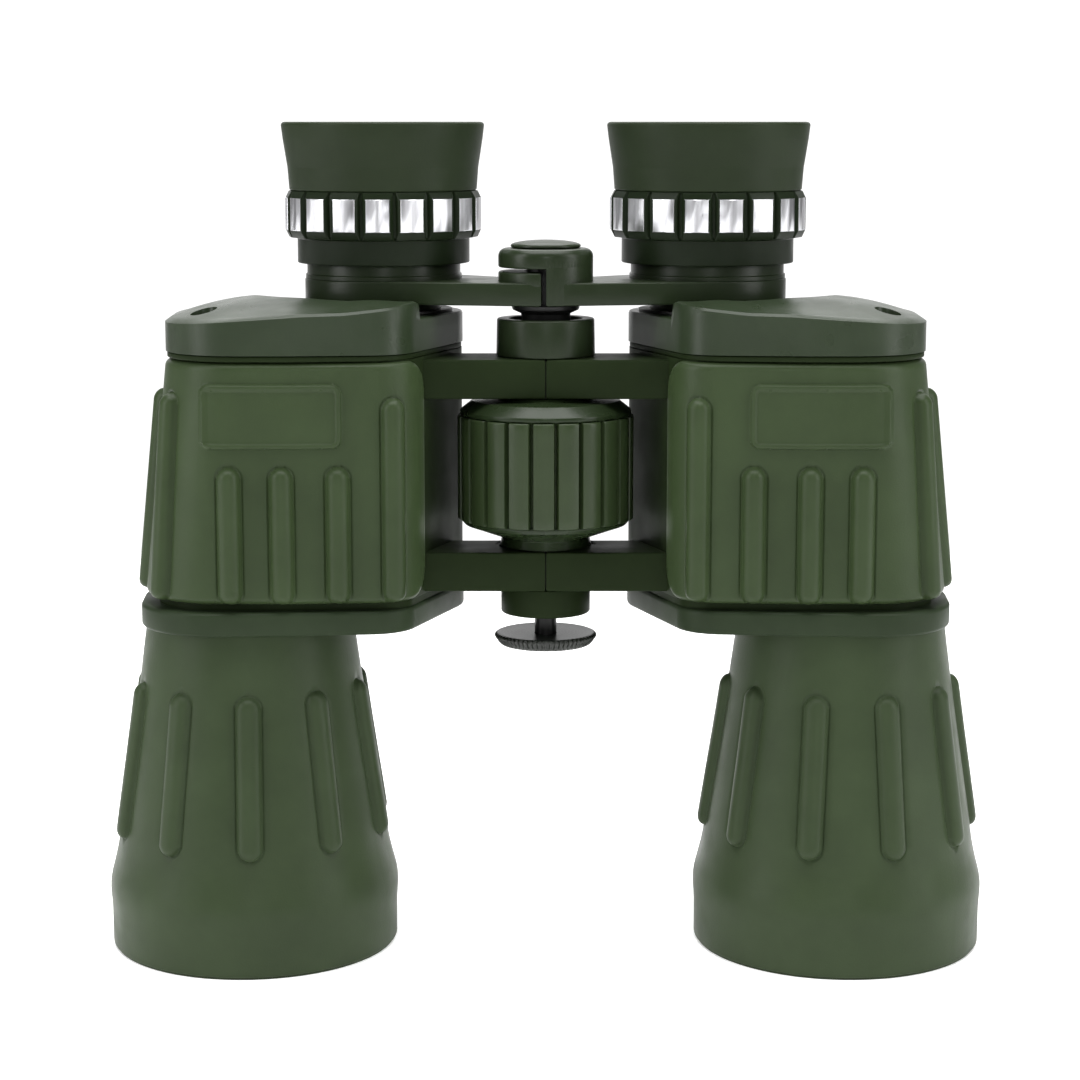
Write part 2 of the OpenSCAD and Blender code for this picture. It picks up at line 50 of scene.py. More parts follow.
def box_mm(node):
    """Lowest and highest corner of a CAD node, in millimetres."""
    low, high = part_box(node)
    return np.array(low) / MM, np.array(high) / MM


def centre_mm(node):
    low, high = box_mm(node)
    return (low + high) / 2


def low_z(node):
    return box_mm(node)[0][2]


def high_z(node):
    return box_mm(node)[1][2]


def span_z(node):
    """Lowest and highest Z of a CAD node."""
    return low_z(node), high_z(node)


def half_width(node):
    low, high = box_mm(node)
    return (high[0] - low[0]) / 2


HINGE_Y = centre_mm("hinge_axle")[1]
OBJECTIVE = np.array([centre_mm("left_barrel_armour")[0], 0.0])
EYEPIECE = centre_mm("left_eyecup")[:2] - np.array([0.0, HINGE_Y])
RIM_R = half_width("left_barrel_armour")
BARREL_TOP = high_z("left_barrel_armour")
PLATE_TOP = high_z("left_base_plate")
ARMOUR_LOW, ARMOUR_HIGH = span_z("left_housing_armour")
COVER_LOW, COVER_HIGH = span_z("left_prism_cover")
ARM_LOW = low_z("left_arm")
ARM_HIGH = ARM_LOW + 4.8
HUB_TOP = high_z("right_arm")
SKIRT_LOW, RING_HIGH = span_z("left_dioptre_ring")
RING_R = half_width("left_dioptre_ring")
INLAY_LOW, INLAY_HIGH = span_z("left_ring_inlays")
EYECUP_TOP = high_z("left_eyecup")
EYECUP_R = half_width("left_eyecup")
GRIP_LOW, GRIP_HIGH = span_z("focus_wheel_grip")
WHEEL_R = half_width("focus_wheel_grip")
WHEEL_LOW, WHEEL_HIGH = span_z("focus_wheel_core")
COLLAR_R = half_width("hinge_top_collar")
CAP_R = half_width("cap_head")

# The housing's plan is the hull of these discs [x, y, radius], which change with height.
ARMOUR_LOW_DISCS = np.array([[OBJECTIVE[0], 0, 20.6], [-67.5, -7, 17], [-54, -4, 20],
                             [-36, -12.1, 10.6], [EYEPIECE[0], EYEPIECE[1], 16.9]])
ARMOUR_HIGH_DISCS = np.array([[-61, 0, 18.2], [-62.5, -7.3, 16.7], [-54, -4, 20],
                              [-36, -12.1, 10.6], [EYEPIECE[0], EYEPIECE[1], 16.9]])
CASTING_LOW_DISCS = np.array([[OBJECTIVE[0], 0, 18.4], [-67.5, -7, 14.8], [-54, -4, 17.8],
                              [-34.7, -12.2, 8.1], [-33.8, 13.6, 15.6]])
CASTING_HIGH_DISCS = np.array([[-61, 0, 16], [-62.5, -7.3, 14.5], [-54, -4, 17.8],
                               [-34.7, -12.2, 8.1], [-33.8, 13.6, 15.6]])
PLATE_DISCS = np.array([[OBJECTIVE[0], 0, 22.5], [-68, -7.5, 17.5], [-54, -4, 20],
                        [-37, -12, 10.3], [EYEPIECE[0], EYEPIECE[1], 16.9]])

LEFT, RIGHT = "left", "right"
PRISM_TURN = math.degrees(math.atan2(EYEPIECE[1], EYEPIECE[0] - OBJECTIVE[0])) - 45


# ---------- meshes ----------

def placed(points, side):
    """Points drawn on the left half, hinge at X = Y = 0, in the row frame and metres."""
    out = np.array(points, float)
    if side == RIGHT:
        out[:, 0] *= -1
    out[:, 1] += HINGE_Y
    return out * MM


def flipped(faces):
    """The same faces, facing the other way."""
    return [tuple(reversed(f)) for f in faces]


def at_height(plan, z):
    """Plan points (x, y) at a height."""
    return np.column_stack([plan, np.full(len(plan), z)])


def ring_at(centre, radius, angles, z):
    """Points at a height, from their radii and angles about a vertical axis."""
    return at_height(np.column_stack([centre[0] + radius * np.cos(angles),
                                      centre[1] + radius * np.sin(angles)]), z)


MOST_SMOOTH_SIDES = 8


def finish_shading(mesh, sharp_deg):
    """Smooth shading, with creases, and with the many-sided flat ends kept flat."""
    mesh.shade_smooth()
    mesh.set_sharp_from_angle(angle=math.radians(sharp_deg))
    for face in mesh.polygons:
        if face.loop_total > MOST_SMOOTH_SIDES:
            face.use_smooth = False


def new_object(name, data):
    """An object in the scene."""
    obj = bpy.data.objects.new(name, data)
    bpy.context.scene.collection.objects.link(obj)
    return obj


def add_piece(name, points, faces, body, material, replaces, side=LEFT, sharp_deg=40):
    """A mesh piece that rides on a body and stands for CAD nodes."""
    if side == RIGHT:
        faces = flipped(faces)
    mesh = bpy.data.meshes.new(name)
    mesh.from_pydata(placed(points, side).tolist(), [], faces)
    mesh.validate()
    mesh.materials.append(material)
    finish_shading(mesh, sharp_deg)
    obj = new_object(name, mesh)
    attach(obj, body)
    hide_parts(*replaces)
    return obj


def grid_faces(rows, cols, wrap_cols=True, wrap_rows=False):
    """Quads of a grid whose points are stored row by row."""
    faces = []
    for i in range(rows if wrap_rows else rows - 1):
        here, above = i * cols, (i + 1) % rows * cols
        for j in range(cols if wrap_cols else cols - 1):
            k = (j + 1) % cols
            faces.append((here + j, here + k, above + k, above + j))
    return faces


def surface(rings, wrap_cols=True, wrap_rows=False):
    """Points and faces of the surface through rings of points."""
    return np.concatenate(rings), grid_faces(len(rings), len(rings[0]), wrap_cols, wrap_rows)


def joined(parts):
    """Several (points, faces) as one."""
    points, faces, count = [], [], 0
    for p, f in parts:
        points.append(np.array(p, float))
        faces += [tuple(i + count for i in face) for face in f]
        count += len(p)
    return np.concatenate(points), faces


def rounded(corners, steps, closed=False):
    """A path through corners (x, y, radius), with each corner rounded by an arc."""
    out, n = [], len(corners)
    for i, (x, y, r) in enumerate(corners):
        here = np.array([x, y], float)
        if r <= 0 or (not closed and i in (0, n - 1)):
            out.append(here)
            continue
        before = np.array(corners[i - 1][:2], float) - here
        after = np.array(corners[(i + 1) % n][:2], float) - here
        room = 0.49 * min(np.linalg.norm(before), np.linalg.norm(after))
        before /= np.linalg.norm(before)
        after /= np.linalg.norm(after)
        half = math.acos(np.clip(before @ after, -1, 1)) / 2
        cut = min(r / math.tan(half), room)
        radius = cut * math.tan(half)
        middle = before + after
        centre = here + middle / np.linalg.norm(middle) * math.hypot(cut, radius)
        start, end = here + before * cut - centre, here + after * cut - centre
        a0, a1 = math.atan2(start[1], start[0]), math.atan2(end[1], end[0])
        turn = (a1 - a0 + math.pi) % (2 * math.pi) - math.pi
        for k in range(steps + 1):
            a = a0 + turn * k / steps
            out.append(centre + radius * np.array([math.cos(a), math.sin(a)]))
    return np.array(out)


def turned(corners, steps, centre=(0, 0), segments=128):
    """A closed profile of rounded corners, turned about a vertical axis."""
    return lathe(rounded(corners, steps, closed=True), centre, segments)


def lathe(profile, centre, segments=128, closed=True):
    """A profile of (radius, z) turned about a vertical axis."""
    profile = np.array(profile, float)
    angles = np.linspace(0, 2 * math.pi, segments, endpoint=False)
    points = np.zeros((len(profile), segments, 3))
    points[..., 0] = centre[0] + profile[:, :1] * np.cos(angles)
    points[..., 1] = centre[1] + profile[:, :1] * np.sin(angles)
    points[..., 2] = profile[:, 1:]
    return points.reshape(-1, 3), grid_faces(len(profile), segments, wrap_rows=closed)


def outline(discs, start_deg, sweep_deg, step_deg, grow=0.0):
    """Points and outward normals along a grown hull of discs, anticlockwise for a positive sweep."""
    steps = round(abs(sweep_deg) / step_deg)
    points, normals = [], []
    for i in range(steps if sweep_deg == 360 else steps + 1):
        a = math.radians(start_deg + sweep_deg * i / steps)
        normal = np.array([math.cos(a), math.sin(a)])
        furthest = discs[np.argmax(discs[:, :2] @ normal + discs[:, 2])]
        points.append(furthest[:2] + (furthest[2] + grow) * normal)
        normals.append(normal)
    return np.array(points), np.array(normals)


def mix(low, high, t):
    """A value between two others, by its share of the way."""
    return low + (high - low) * t


SWEEP_START_DEG = 7.0
SWEEP_STEP_DEG = 2.5


def swept_block(discs_at, profile, closed=True):
    """A profile of (grow, z) carried round the hull of the discs that belong to each height."""
    rings = []
    for grow, z in profile:
        points, _ = outline(discs_at(z), SWEEP_START_DEG, 360, SWEEP_STEP_DEG, grow)
        rings.append(at_height(points, z))
    return surface(rings, wrap_rows=closed)


def capped(points, faces, cols):
    """Closes the first and last ring of an open sweep."""
    n = len(points)
    return points, faces + [tuple(reversed(range(cols))), tuple(range(n - cols, n))]


def plate(loop, low, high, bevel):
    """A flat plate with a rounded rim, from a closed loop of points, anticlockwise."""
    loop = np.array(loop, float)
    ahead, behind = np.roll(loop, -1, 0) - loop, loop - np.roll(loop, 1, 0)
    ahead /= np.linalg.norm(ahead, axis=1)[:, None]
    behind /= np.linalg.norm(behind, axis=1)[:, None]
    normal = np.column_stack([ahead[:, 1] + behind[:, 1], -ahead[:, 0] - behind[:, 0]])
    normal /= np.maximum((normal ** 2).sum(1) / 2, 0.7)[:, None]
    quarter = np.radians([0, 30, 60, 90])
    rings = [(bevel * (1 - math.sin(a)), low + bevel * (1 - math.cos(a))) for a in quarter]
    rings += [(bevel * (1 - math.cos(a)), high - bevel * (1 - math.sin(a))) for a in quarter]
    points = np.concatenate([at_height(loop - normal * inset, z) for inset, z in rings])
    return capped(points, grid_faces(len(rings), len(loop)), len(loop))


def arc(radius, start_deg, end_deg, step_deg=5.0, centre=(0.0, 0.0)):
    """Plan points along an arc, both ends included."""
    count = max(2, int(math.ceil(abs(end_deg - start_deg) / step_deg)) + 1)
    angles = np.radians(np.linspace(start_deg, end_deg, count))
    return np.column_stack([centre[0] + radius * np.cos(angles), centre[1] + radius * np.sin(angles)])


def dense(low, high, step):
    """Evenly spaced values from low to high, both included."""
    return np.linspace(low, high, max(2, int(math.ceil((high - low) / step)) + 1))


CLOSEST_MM = 0.04


def merged(*ranges):
    """Sorted values with near duplicates taken out."""
    values = np.sort(np.concatenate(ranges))
    keep = np.concatenate([[True], np.diff(values) > CLOSEST_MM])
    return values[keep]


def dome(depth, reach):
    """Height share of a rounded edge at a depth inside it: 0 at the edge, 1 from reach on."""
    t = np.clip(depth / reach, 0, 1)
    return np.sqrt(1 - (1 - t) ** 2)


FOOT_GROOVE = 0.22
FOOT_GROOVE_HALF = 0.3


def rib_height(depth, proud, reach):
    """Height of a moulded rib, with the fine groove that runs round its foot."""
    groove = np.clip(1 - np.abs(depth + FOOT_GROOVE_HALF) / FOOT_GROOVE_HALF, 0, 1)
    return proud * dome(depth, reach) - FOOT_GROOVE * groove


def pill_depth(across, along, low, high, half):
    """How deep a point lies inside a pill that runs from low to high."""
    past = np.maximum(np.maximum(low + half - along, along - (high - half)), 0)
    return half - np.hypot(across, past)


# ---------- materials ----------

def new_material(name):
    """A material, its node tree and its shader."""
    material = bpy.data.materials.new(name)
    material.use_nodes = True
    return material, material.node_tree, material.node_tree.nodes["Principled BSDF"]


def set_inputs(node, values):
    """Sets a node's inputs by name."""
    for name, value in values.items():
        node.inputs[name].default_value = value


def object_space(tree, change, amount):
    """Object coordinates with a change to their Scale or Location."""
    where = tree.nodes.new("ShaderNodeTexCoord")
    mapping = tree.nodes.new("ShaderNodeMapping")
    set_inputs(mapping, {change: amount})
    tree.links.new(where.outputs["Object"], mapping.inputs["Vector"])
    return mapping.outputs["Vector"]


def noise(tree, scale, detail, roughness=0.5, stretch=(1, 1, 1)):
    """A noise texture in object space, scale in features per metre."""
    texture = tree.nodes.new("ShaderNodeTexNoise")
    set_inputs(texture, {"Scale": scale, "Detail": detail, "Roughness": roughness})
    tree.links.new(object_space(tree, "Scale", stretch), texture.inputs["Vector"])
    return texture


def ramp(tree, source, stops):
    """A colour ramp over a value, stops as (position, colour)."""
    node = tree.nodes.new("ShaderNodeValToRGB")
    while len(node.color_ramp.elements) < len(stops):
        node.color_ramp.elements.new(0.5)
    for element, (position, colour) in zip(node.color_ramp.elements, stops):
        element.position = position
        element.color = (*colour, 1)
    tree.links.new(source, node.inputs["Fac"])
    return node


def mapped(tree, source, low, high, from_low, from_high):
    """A value moved from one range to another."""
    node = tree.nodes.new("ShaderNodeMapRange")
    set_inputs(node, {"From Min": from_low, "From Max": from_high, "To Min": low, "To Max": high})
    tree.links.new(source, node.inputs["Value"])
    return node.outputs["Result"]


def bump(tree, shader, layers):
    """Stacks bump layers of (height socket, distance in metres, strength)."""
    previous = None
    for height, distance, strength in layers:
        node = tree.nodes.new("ShaderNodeBump")
        set_inputs(node, {"Distance": distance, "Strength": strength})
        tree.links.new(height, node.inputs["Height"])
        if previous:
            tree.links.new(previous, node.inputs["Normal"])
        previous = node.outputs["Normal"]
    tree.links.new(previous, shader.inputs["Normal"])


def shade(colour, factor):
    """A lighter or darker colour."""
    return tuple(min(1.0, c * factor) for c in colour)


# The part of a noise texture's range that its values mostly keep to.
NOISE_LOW, NOISE_HIGH = 0.3, 0.7


def soft_coat(name, colour, rough, grain_per_m, grain_m, specular):
    """A satin coating or rubber: fine grain, a little mottling, and patches worn smoother."""
    material, tree, shader = new_material(name)
    mottle = noise(tree, scale=55, detail=4, roughness=0.6)
    tint = ramp(tree, mottle.outputs["Fac"], [(NOISE_LOW, shade(colour, 0.88)),
                                           (NOISE_HIGH, shade(colour, 1.12))])
    tree.links.new(tint.outputs["Color"], shader.inputs["Base Color"])
    grain = noise(tree, grain_per_m, detail=3, roughness=0.55)
    worn = noise(tree, scale=140, detail=3)
    tree.links.new(mapped(tree, worn.outputs["Fac"], rough - 0.06, rough + 0.06, NOISE_LOW, NOISE_HIGH),
                   shader.inputs["Roughness"])
    bump(tree, shader, [(grain.outputs["Fac"], grain_m, 0.6)])
    set_inputs(shader, {"Specular IOR Level": specular})
    return material


def metal(name, colour, rough, streaks, scale, depth, contrast=0.14):
    """A bare metal with streaks that run where the stretch is small."""
    material, tree, shader = new_material(name)
    set_inputs(shader, {"Metallic": 1.0})
    lines = noise(tree, scale, detail=3, roughness=0.6, stretch=streaks)
    tint = ramp(tree, lines.outputs["Fac"],
                [(0.25, shade(colour, 1 - contrast)), (0.75, shade(colour, 1.06))])
    tree.links.new(tint.outputs["Color"], shader.inputs["Base Color"])
    tree.links.new(mapped(tree, lines.outputs["Fac"], rough - 0.08, rough + 0.1, NOISE_LOW, NOISE_HIGH),
                   shader.inputs["Roughness"])
    bump(tree, shader, [(lines.outputs["Fac"], depth, 0.5)])
    return material


def coated_glass(name, tint, coat_tint):
    """Clear glass with a coloured anti-reflection coat."""
    material, tree, shader = new_material(name)
    film = noise(tree, scale=30, detail=2)
    colour = ramp(tree, film.outputs["Fac"], [(NOISE_LOW, tint), (NOISE_HIGH, shade(tint, 1.04))])
    tree.links.new(colour.outputs["Color"], shader.inputs["Base Color"])
    set_inputs(shader, {"Transmission Weight": 1.0, "Roughness": 0.02, "IOR": 1.52,
                        "Coat Weight": 0.6, "Coat Roughness": 0.03, "Coat Tint": (*coat_tint, 1)})
    return material


# Coats: name, colour, roughness, grain per metre, height of the grain in metres.
ARMOUR = soft_coat("armour_rubber", (0.0285, 0.0445, 0.0175), 0.40, 2600, 0.00005, specular=0.16)
BARREL = soft_coat("barrel_rubber", (0.030, 0.0445, 0.0205), 0.42, 2600, 0.00004, specular=0.12)
ENAMEL = soft_coat("green_enamel", (0.020, 0.030, 0.015), 0.32, 3800, 0.00003, specular=0.24)
DARK_ENAMEL = soft_coat("dark_green_enamel", (0.0135, 0.021, 0.009), 0.34, 3800, 0.00003, specular=0.2)
# The casting's coat is the same green enamel made darker: painted shade for the inner walls between the
# halves, which also darkens the lugs and the end collar.
SHADED_CASTING = soft_coat("casting_enamel_painted_shade", (0.012, 0.0195, 0.0068), 0.5, 3800, 0.00003, specular=0.05)
RING_PLASTIC = soft_coat("ring_plastic", (0.0085, 0.014, 0.006), 0.36, 3200, 0.00003, specular=0.1)
WHEEL_RUBBER = soft_coat("wheel_rubber", (0.022, 0.035, 0.013), 0.36, 2600, 0.00004, specular=0.26)
WHEEL_CORE = soft_coat("wheel_enamel", (0.014, 0.023, 0.009), 0.28, 3200, 0.00002, specular=0.2)
PLATE_ENAMEL = soft_coat("plate_enamel", (0.020, 0.030, 0.015), 0.44, 3800, 0.00003, specular=0.09)
CUP_RUBBER = soft_coat("eyecup_rubber", (0.0155, 0.0235, 0.0105), 0.46, 3000, 0.00004, specular=0.12)
BLACK = soft_coat("black_anodised", (0.008, 0.008, 0.008), 0.4, 4200, 0.00002, specular=0.35)
ALUMINIUM = metal("brushed_aluminium", (0.80, 0.80, 0.83), 0.36, (1, 1, 0.03), 330, 0.000001, 0.5)
STEEL = metal("turned_steel", (0.52, 0.52, 0.53), 0.3, (1, 1, 14), 700, 0.00002)
GLASS = coated_glass("optical_glass", (0.86, 0.93, 0.92), (0.55, 0.75, 1.0))


def cap_finish():
    """Dark green cap whose top face shows pale turned scratches."""
    material, tree, shader = new_material("cap_finish")
    rings = tree.nodes.new("ShaderNodeTexWave")
    rings.wave_type = "RINGS"
    rings.rings_direction = "Z"
    set_inputs(rings, {"Scale": 420, "Distortion": 9, "Detail": 3})
    about_hinge = object_space(tree, "Location", (0, -HINGE_Y * MM, 0))
    tree.links.new(about_hinge, rings.inputs["Vector"])
    tint = ramp(tree, rings.outputs["Fac"],
                [(0.45, (0.004, 0.0055, 0.0035)), (0.85, (0.017, 0.020, 0.016))])
    tree.links.new(tint.outputs["Color"], shader.inputs["Base Color"])
    set_inputs(shader, {"Roughness": 0.36})
    bump(tree, shader, [(rings.outputs["Fac"], 0.00003, 0.5)])
    return material


CAP_FINISH = cap_finish()


# ---------- barrels ----------

RIB_HALF = 2.5
RIB_PROUD = 1.8
RIB_ROUND = 2.4
RIB_Z = (25.0, 58.6)
RIBS = 10
RIB_TURN = {LEFT: 4.5, RIGHT: 18.0}


def barrel_radius(z):
    """Outer radius of the barrel without its ribs."""
    knots_z = [0, 9, 12, 14.5, 16, 18, 22, 30, 45, 59, BARREL_TOP]
    knots_r = [RIM_R - 0.1, RIM_R - 0.05, RIM_R + 0.25, RIM_R + 0.2, RIM_R - 0.2, RIM_R - 0.75, RIM_R - 1.7,
               28.15, 25.8, 23.7, 22.0]
    return np.interp(z, knots_z, knots_r)


def smooth_radius(z):
    """The same, with its corners eased over a few millimetres."""
    reach = np.array([-1.5, -0.75, 0, 0.75, 1.5])
    return np.mean([barrel_radius(np.clip(z + d, 0, BARREL_TOP)) for d in reach], axis=0)


def rib_columns(half):
    """Places across a rib and its foot groove, close enough to round them."""
    return dense(-half - 0.7, half + 0.7, 0.2)


def barrel(side):
    """The rubber barrel: ribs as a height over the turned form, columns placed to follow them."""
    rim, bulge = 0.9, 16
    foot_z, head_z = RIB_Z
    past, into = 0.6, 3.2
    rows = merged(dense(rim, bulge, 1.2), dense(bulge, foot_z - past, 1.2),
                  dense(foot_z - past, foot_z + into, 0.22), dense(foot_z + into, head_z - into, 1.6),
                  dense(head_z - into, head_z + past, 0.22), dense(head_z + past, BARREL_TOP, 1.4))
    near = rib_columns(RIB_HALF)
    between = np.linspace(0, 1, 8)[1:-1]
    rings = []
    for z in rows:
        radius = smooth_radius(z)
        pitch = 2 * math.pi * radius / RIBS
        gap = pitch - 2 * near[-1]
        across = np.concatenate([near, near[-1] + between * gap])
        nearest = np.where(across > pitch / 2, across - pitch, across)
        height = rib_height(pill_depth(nearest, z, *RIB_Z, RIB_HALF), RIB_PROUD, RIB_ROUND)
        angles = across / radius
        ring = []
        for k in range(RIBS):
            turn = math.radians(-90 + RIB_TURN[side] + k * 360 / RIBS)
            ring.append(ring_at(OBJECTIVE, radius + height, turn + angles, z))
        rings.append(np.concatenate(ring))
    turns = np.arctan2(rings[0][:, 1] - OBJECTIVE[1], rings[0][:, 0] - OBJECTIVE[0])
    foot = RIM_R - 0.65
    inside = rounded([(RIM_R - 0.1, 2, 0), (RIM_R - 0.1, 0.55, 0.3), (foot, 0.55, 0), (foot, 0, 0),
                      (27, 0, 0.6), (27, 6, 0), (28.4, 6, 0), (28.4, bulge, 0), (26.9, 22, 0), (21.2, 59, 0),
                      (20.4, BARREL_TOP, 0)], 4)[1:]
    rings = rings[::-1] + [ring_at(OBJECTIVE, r, turns, z) for r, z in inside]
    points, faces = surface(rings, wrap_rows=True)
    add_piece(side + "_barrel_cover", points, flipped(faces), side + "_half", BARREL,
              [side + "_barrel_armour"], side, sharp_deg=50)


# ---------- housings ----------

ARMOUR_T = 2.2
ARMOUR_START_DEG = -14.0
ARMOUR_SWEEP_DEG = -340.0
ARMOUR_LAP = 3.5
ARMOUR_RIB_HALF = 2.35
ARMOUR_RIB_PROUD = 2.3
ARMOUR_RIB_ROUND = 2.35
ARMOUR_CORNER = 7.0
ARMOUR_EDGE = 1.5
RIB_FOOT, SHORT_HEAD, INNER_HEAD, OUTER_HEAD = 78.2, 106.6, 120.6, 121.2

# Ribs of the armour: (x, y) near the foot, (x, y) near the head, low z, high z.
ARMOUR_RIBS = [
    ((-31.5, -21), (-31.5, -21), RIB_FOOT, INNER_HEAD),
    ((-42.6, -23), (-42.6, -23), RIB_FOOT, SHORT_HEAD),
    ((-54.1, -24), (-54.1, -24), RIB_FOOT, SHORT_HEAD),
    ((-64.8, -24), (-64.8, -24), RIB_FOOT, SHORT_HEAD),
    ((-79.9, -18.6), (-76.6, -16.2), RIB_FOOT, OUTER_HEAD),
    ((-84.6, -5), (-79.2, -5), RIB_FOOT, OUTER_HEAD),
    ((-83.0, 8.0), (-78.0, 7.5), RIB_FOOT, OUTER_HEAD),
    ((-72.4, 18.5), (-68.4, 16.5), RIB_FOOT, SHORT_HEAD),
    ((-62.2, 23.6), (-59.6, 21.9), RIB_FOOT, SHORT_HEAD),
    ((-51.6, 27.3), (-50.4, 26.2), RIB_FOOT, SHORT_HEAD),
    ((-40.6, 30), (-40.4, 30), RIB_FOOT, INNER_HEAD),
]
PANEL_X = (-71.2, -41.6)
PANEL_Z = (110.4, 123.6)
PANEL_CORNER = 2
PANEL_BORDER_HALF = 0.6


class Strip:
    """The armour's outer face at one height, read by its length in mm.

    It begins on the inner wall, a little before the housing's inner front corner."""

    def __init__(self, z):
        t = (z - ARMOUR_LOW) / (ARMOUR_HIGH - ARMOUR_LOW)
        discs = mix(ARMOUR_LOW_DISCS, ARMOUR_HIGH_DISCS, t)
        self.points, self.normals = outline(discs, ARMOUR_START_DEG, ARMOUR_SWEEP_DEG, 1.0)
        steps = np.linalg.norm(np.diff(self.points, axis=0), axis=1)
        inner_wall = steps[:int(-ARMOUR_START_DEG) + 1]
        corner = int(np.argmax(inner_wall)) + 1
        self.length = np.concatenate([[0], np.cumsum(steps)])
        self.length -= self.length[corner] - ARMOUR_LAP
        self.total = self.length[-1]

    def at(self, s):
        """Points and normals at lengths s."""
        columns = (*self.points.T, *self.normals.T)
        x, y, nx, ny = (np.interp(s, self.length, column) for column in columns)
        scale = np.hypot(nx, ny)
        return np.column_stack([x, y]), np.column_stack([nx / scale, ny / scale])

    def nearest(self, point):
        """The length at which the line passes nearest to a point."""
        fine = np.arange(0, self.total, 0.05)
        where, _ = self.at(fine)
        return fine[np.argmin(np.linalg.norm(where - np.array(point), axis=1))]


def corner_depth(s, z, total, radius):
    """Depth inside the armour's edge, whose four corners are rounded in the flat."""
    du, dv = np.minimum(s, total - s), np.minimum(z - ARMOUR_LOW, ARMOUR_HIGH - z)
    iu, iv = radius - du, radius - dv
    return np.where((iu > 0) & (iv > 0), radius - np.hypot(iu, iv), np.minimum(du, dv))


def armour_height(s, z, strip, rib_places, panel):
    """Height of the armour above its plain outer face."""
    depth = corner_depth(s, z, strip.total, ARMOUR_CORNER)
    skin = np.where(depth < 0, -ARMOUR_T - 0.5, -ARMOUR_T * (1 - dome(depth, ARMOUR_EDGE)))
    ribs = np.zeros_like(s)
    for place, (_, _, low, high) in zip(rib_places, ARMOUR_RIBS):
        depth = pill_depth(s - place, z, low, high, ARMOUR_RIB_HALF)
        rib = rib_height(depth, ARMOUR_RIB_PROUD, ARMOUR_RIB_ROUND)
        ribs = np.where(rib != 0, rib, ribs)
    return skin + np.where(ribs != 0, ribs, panel_height(s, z, panel))


def panel_height(s, z, panel):
    """Height of the name panel: a flat slab with a rounded border."""
    from_left, from_right, from_foot, from_head = s - panel[0], panel[1] - s, z - PANEL_Z[0], PANEL_Z[1] - z
    inset = np.minimum(np.minimum(from_left, from_right), np.minimum(from_foot, from_head))
    round_r = PANEL_CORNER
    corner = np.hypot(np.maximum(round_r - from_left, 0) + np.maximum(round_r - from_right, 0),
                      np.maximum(round_r - from_foot, 0) + np.maximum(round_r - from_head, 0))
    inset = np.where(corner > 0, np.minimum(inset, round_r - corner), inset)
    border = 0.4 * dome(PANEL_BORDER_HALF - np.abs(inset - PANEL_BORDER_HALF), PANEL_BORDER_HALF)
    slab = 0.45 * dome(inset, 0.35)
    return border + slab


def armour(side):
    """The rubber skin of a prism housing, from its inner front edge round to its inner back edge."""
    foot, head = Strip(ARMOUR_LOW), Strip(ARMOUR_HIGH)
    low_places = np.array([foot.nearest(r[0]) for r in ARMOUR_RIBS])
    high_places = np.array([head.nearest(r[1]) for r in ARMOUR_RIBS])
    panel = sorted(head.nearest((x, -24)) for x in PANEL_X)
    edge_rows = np.array([-0.02, 0.0, 0.05, 0.15, 0.3, 0.5, 0.75, 1.05, 1.5, 2.0, 2.8, 3.6, 4.6])
    # Rows lie close at the ribs' feet and heads and at the panel's edges.
    spans = [(ARMOUR_LOW + 0.9, 0.3), (ARMOUR_LOW + 4, 2.2), (SHORT_HEAD - 3.1, 0.28),
             (SHORT_HEAD + 0.4, 0.9), (PANEL_Z[0] - 0.4, 0.2), (PANEL_Z[0] + 1.8, 1.2),
             (OUTER_HEAD - 3.8, 0.26), (PANEL_Z[1] + 0.4, 0.8), (ARMOUR_HIGH - edge_rows[-1], None)]
    between = [dense(low, high, step) for (low, step), (high, _) in zip(spans, spans[1:])]
    rows = merged(ARMOUR_LOW + edge_rows, ARMOUR_HIGH - edge_rows, *between)
    near = rib_columns(ARMOUR_RIB_HALF)
    rings = []
    for z in rows:
        strip = Strip(float(np.clip(z, ARMOUR_LOW, ARMOUR_HIGH)))
        t = (z - ARMOUR_LOW) / (ARMOUR_HIGH - ARMOUR_LOW)
        places = mix(low_places, high_places, t)
        columns = [edge_rows[:-1]]
        last = edge_rows[-1]
        for place in places:
            columns.append(np.linspace(last, place + near[0], 16)[:-1])
            columns.append(place + near)
            last = place + near[-1]
        columns.append(np.linspace(last, strip.total - edge_rows[-1], 24)[1:])
        columns.append(strip.total - edge_rows[-2::-1])
        s = np.concatenate(columns)
        where, normal = strip.at(s)
        height = armour_height(s, np.full_like(s, z), strip, places, panel)
        rings.append(at_height(where + normal * height[:, None], z))
    points, faces = surface(rings, wrap_cols=False)
    add_piece(side + "_armour", points, faces, side + "_half", ARMOUR,
              [side + "_housing_armour"], side, sharp_deg=55)


def casting_discs(z):
    """The casting's plan at a height."""
    t = np.clip((z - ARMOUR_LOW) / (COVER_LOW - ARMOUR_LOW), 0, 1)
    return mix(CASTING_LOW_DISCS, CASTING_HIGH_DISCS, t)


LUG_FRONT = 10.5
LUG_BACK = 6.0
KNUCKLE_R = 10.4
AXLE_HOLE_R = 6.05
SPLIT = 0.3
SEAM = 0.12
FOLD_DEG = 40.0
OPEN_DEG = FOLD_DEG + 7
WEB_DEG = 175
INNER_WALL = 20.8
LUGS = ((78.5, 86.8), (119.2, 127.4))


def wall_x(y, depth):
    """X of a line parallel to the housing's inner wall, depth mm behind it."""
    a = math.radians(PRISM_TURN)
    return (-(INNER_WALL + depth) - math.sin(a) * y) / math.cos(a)


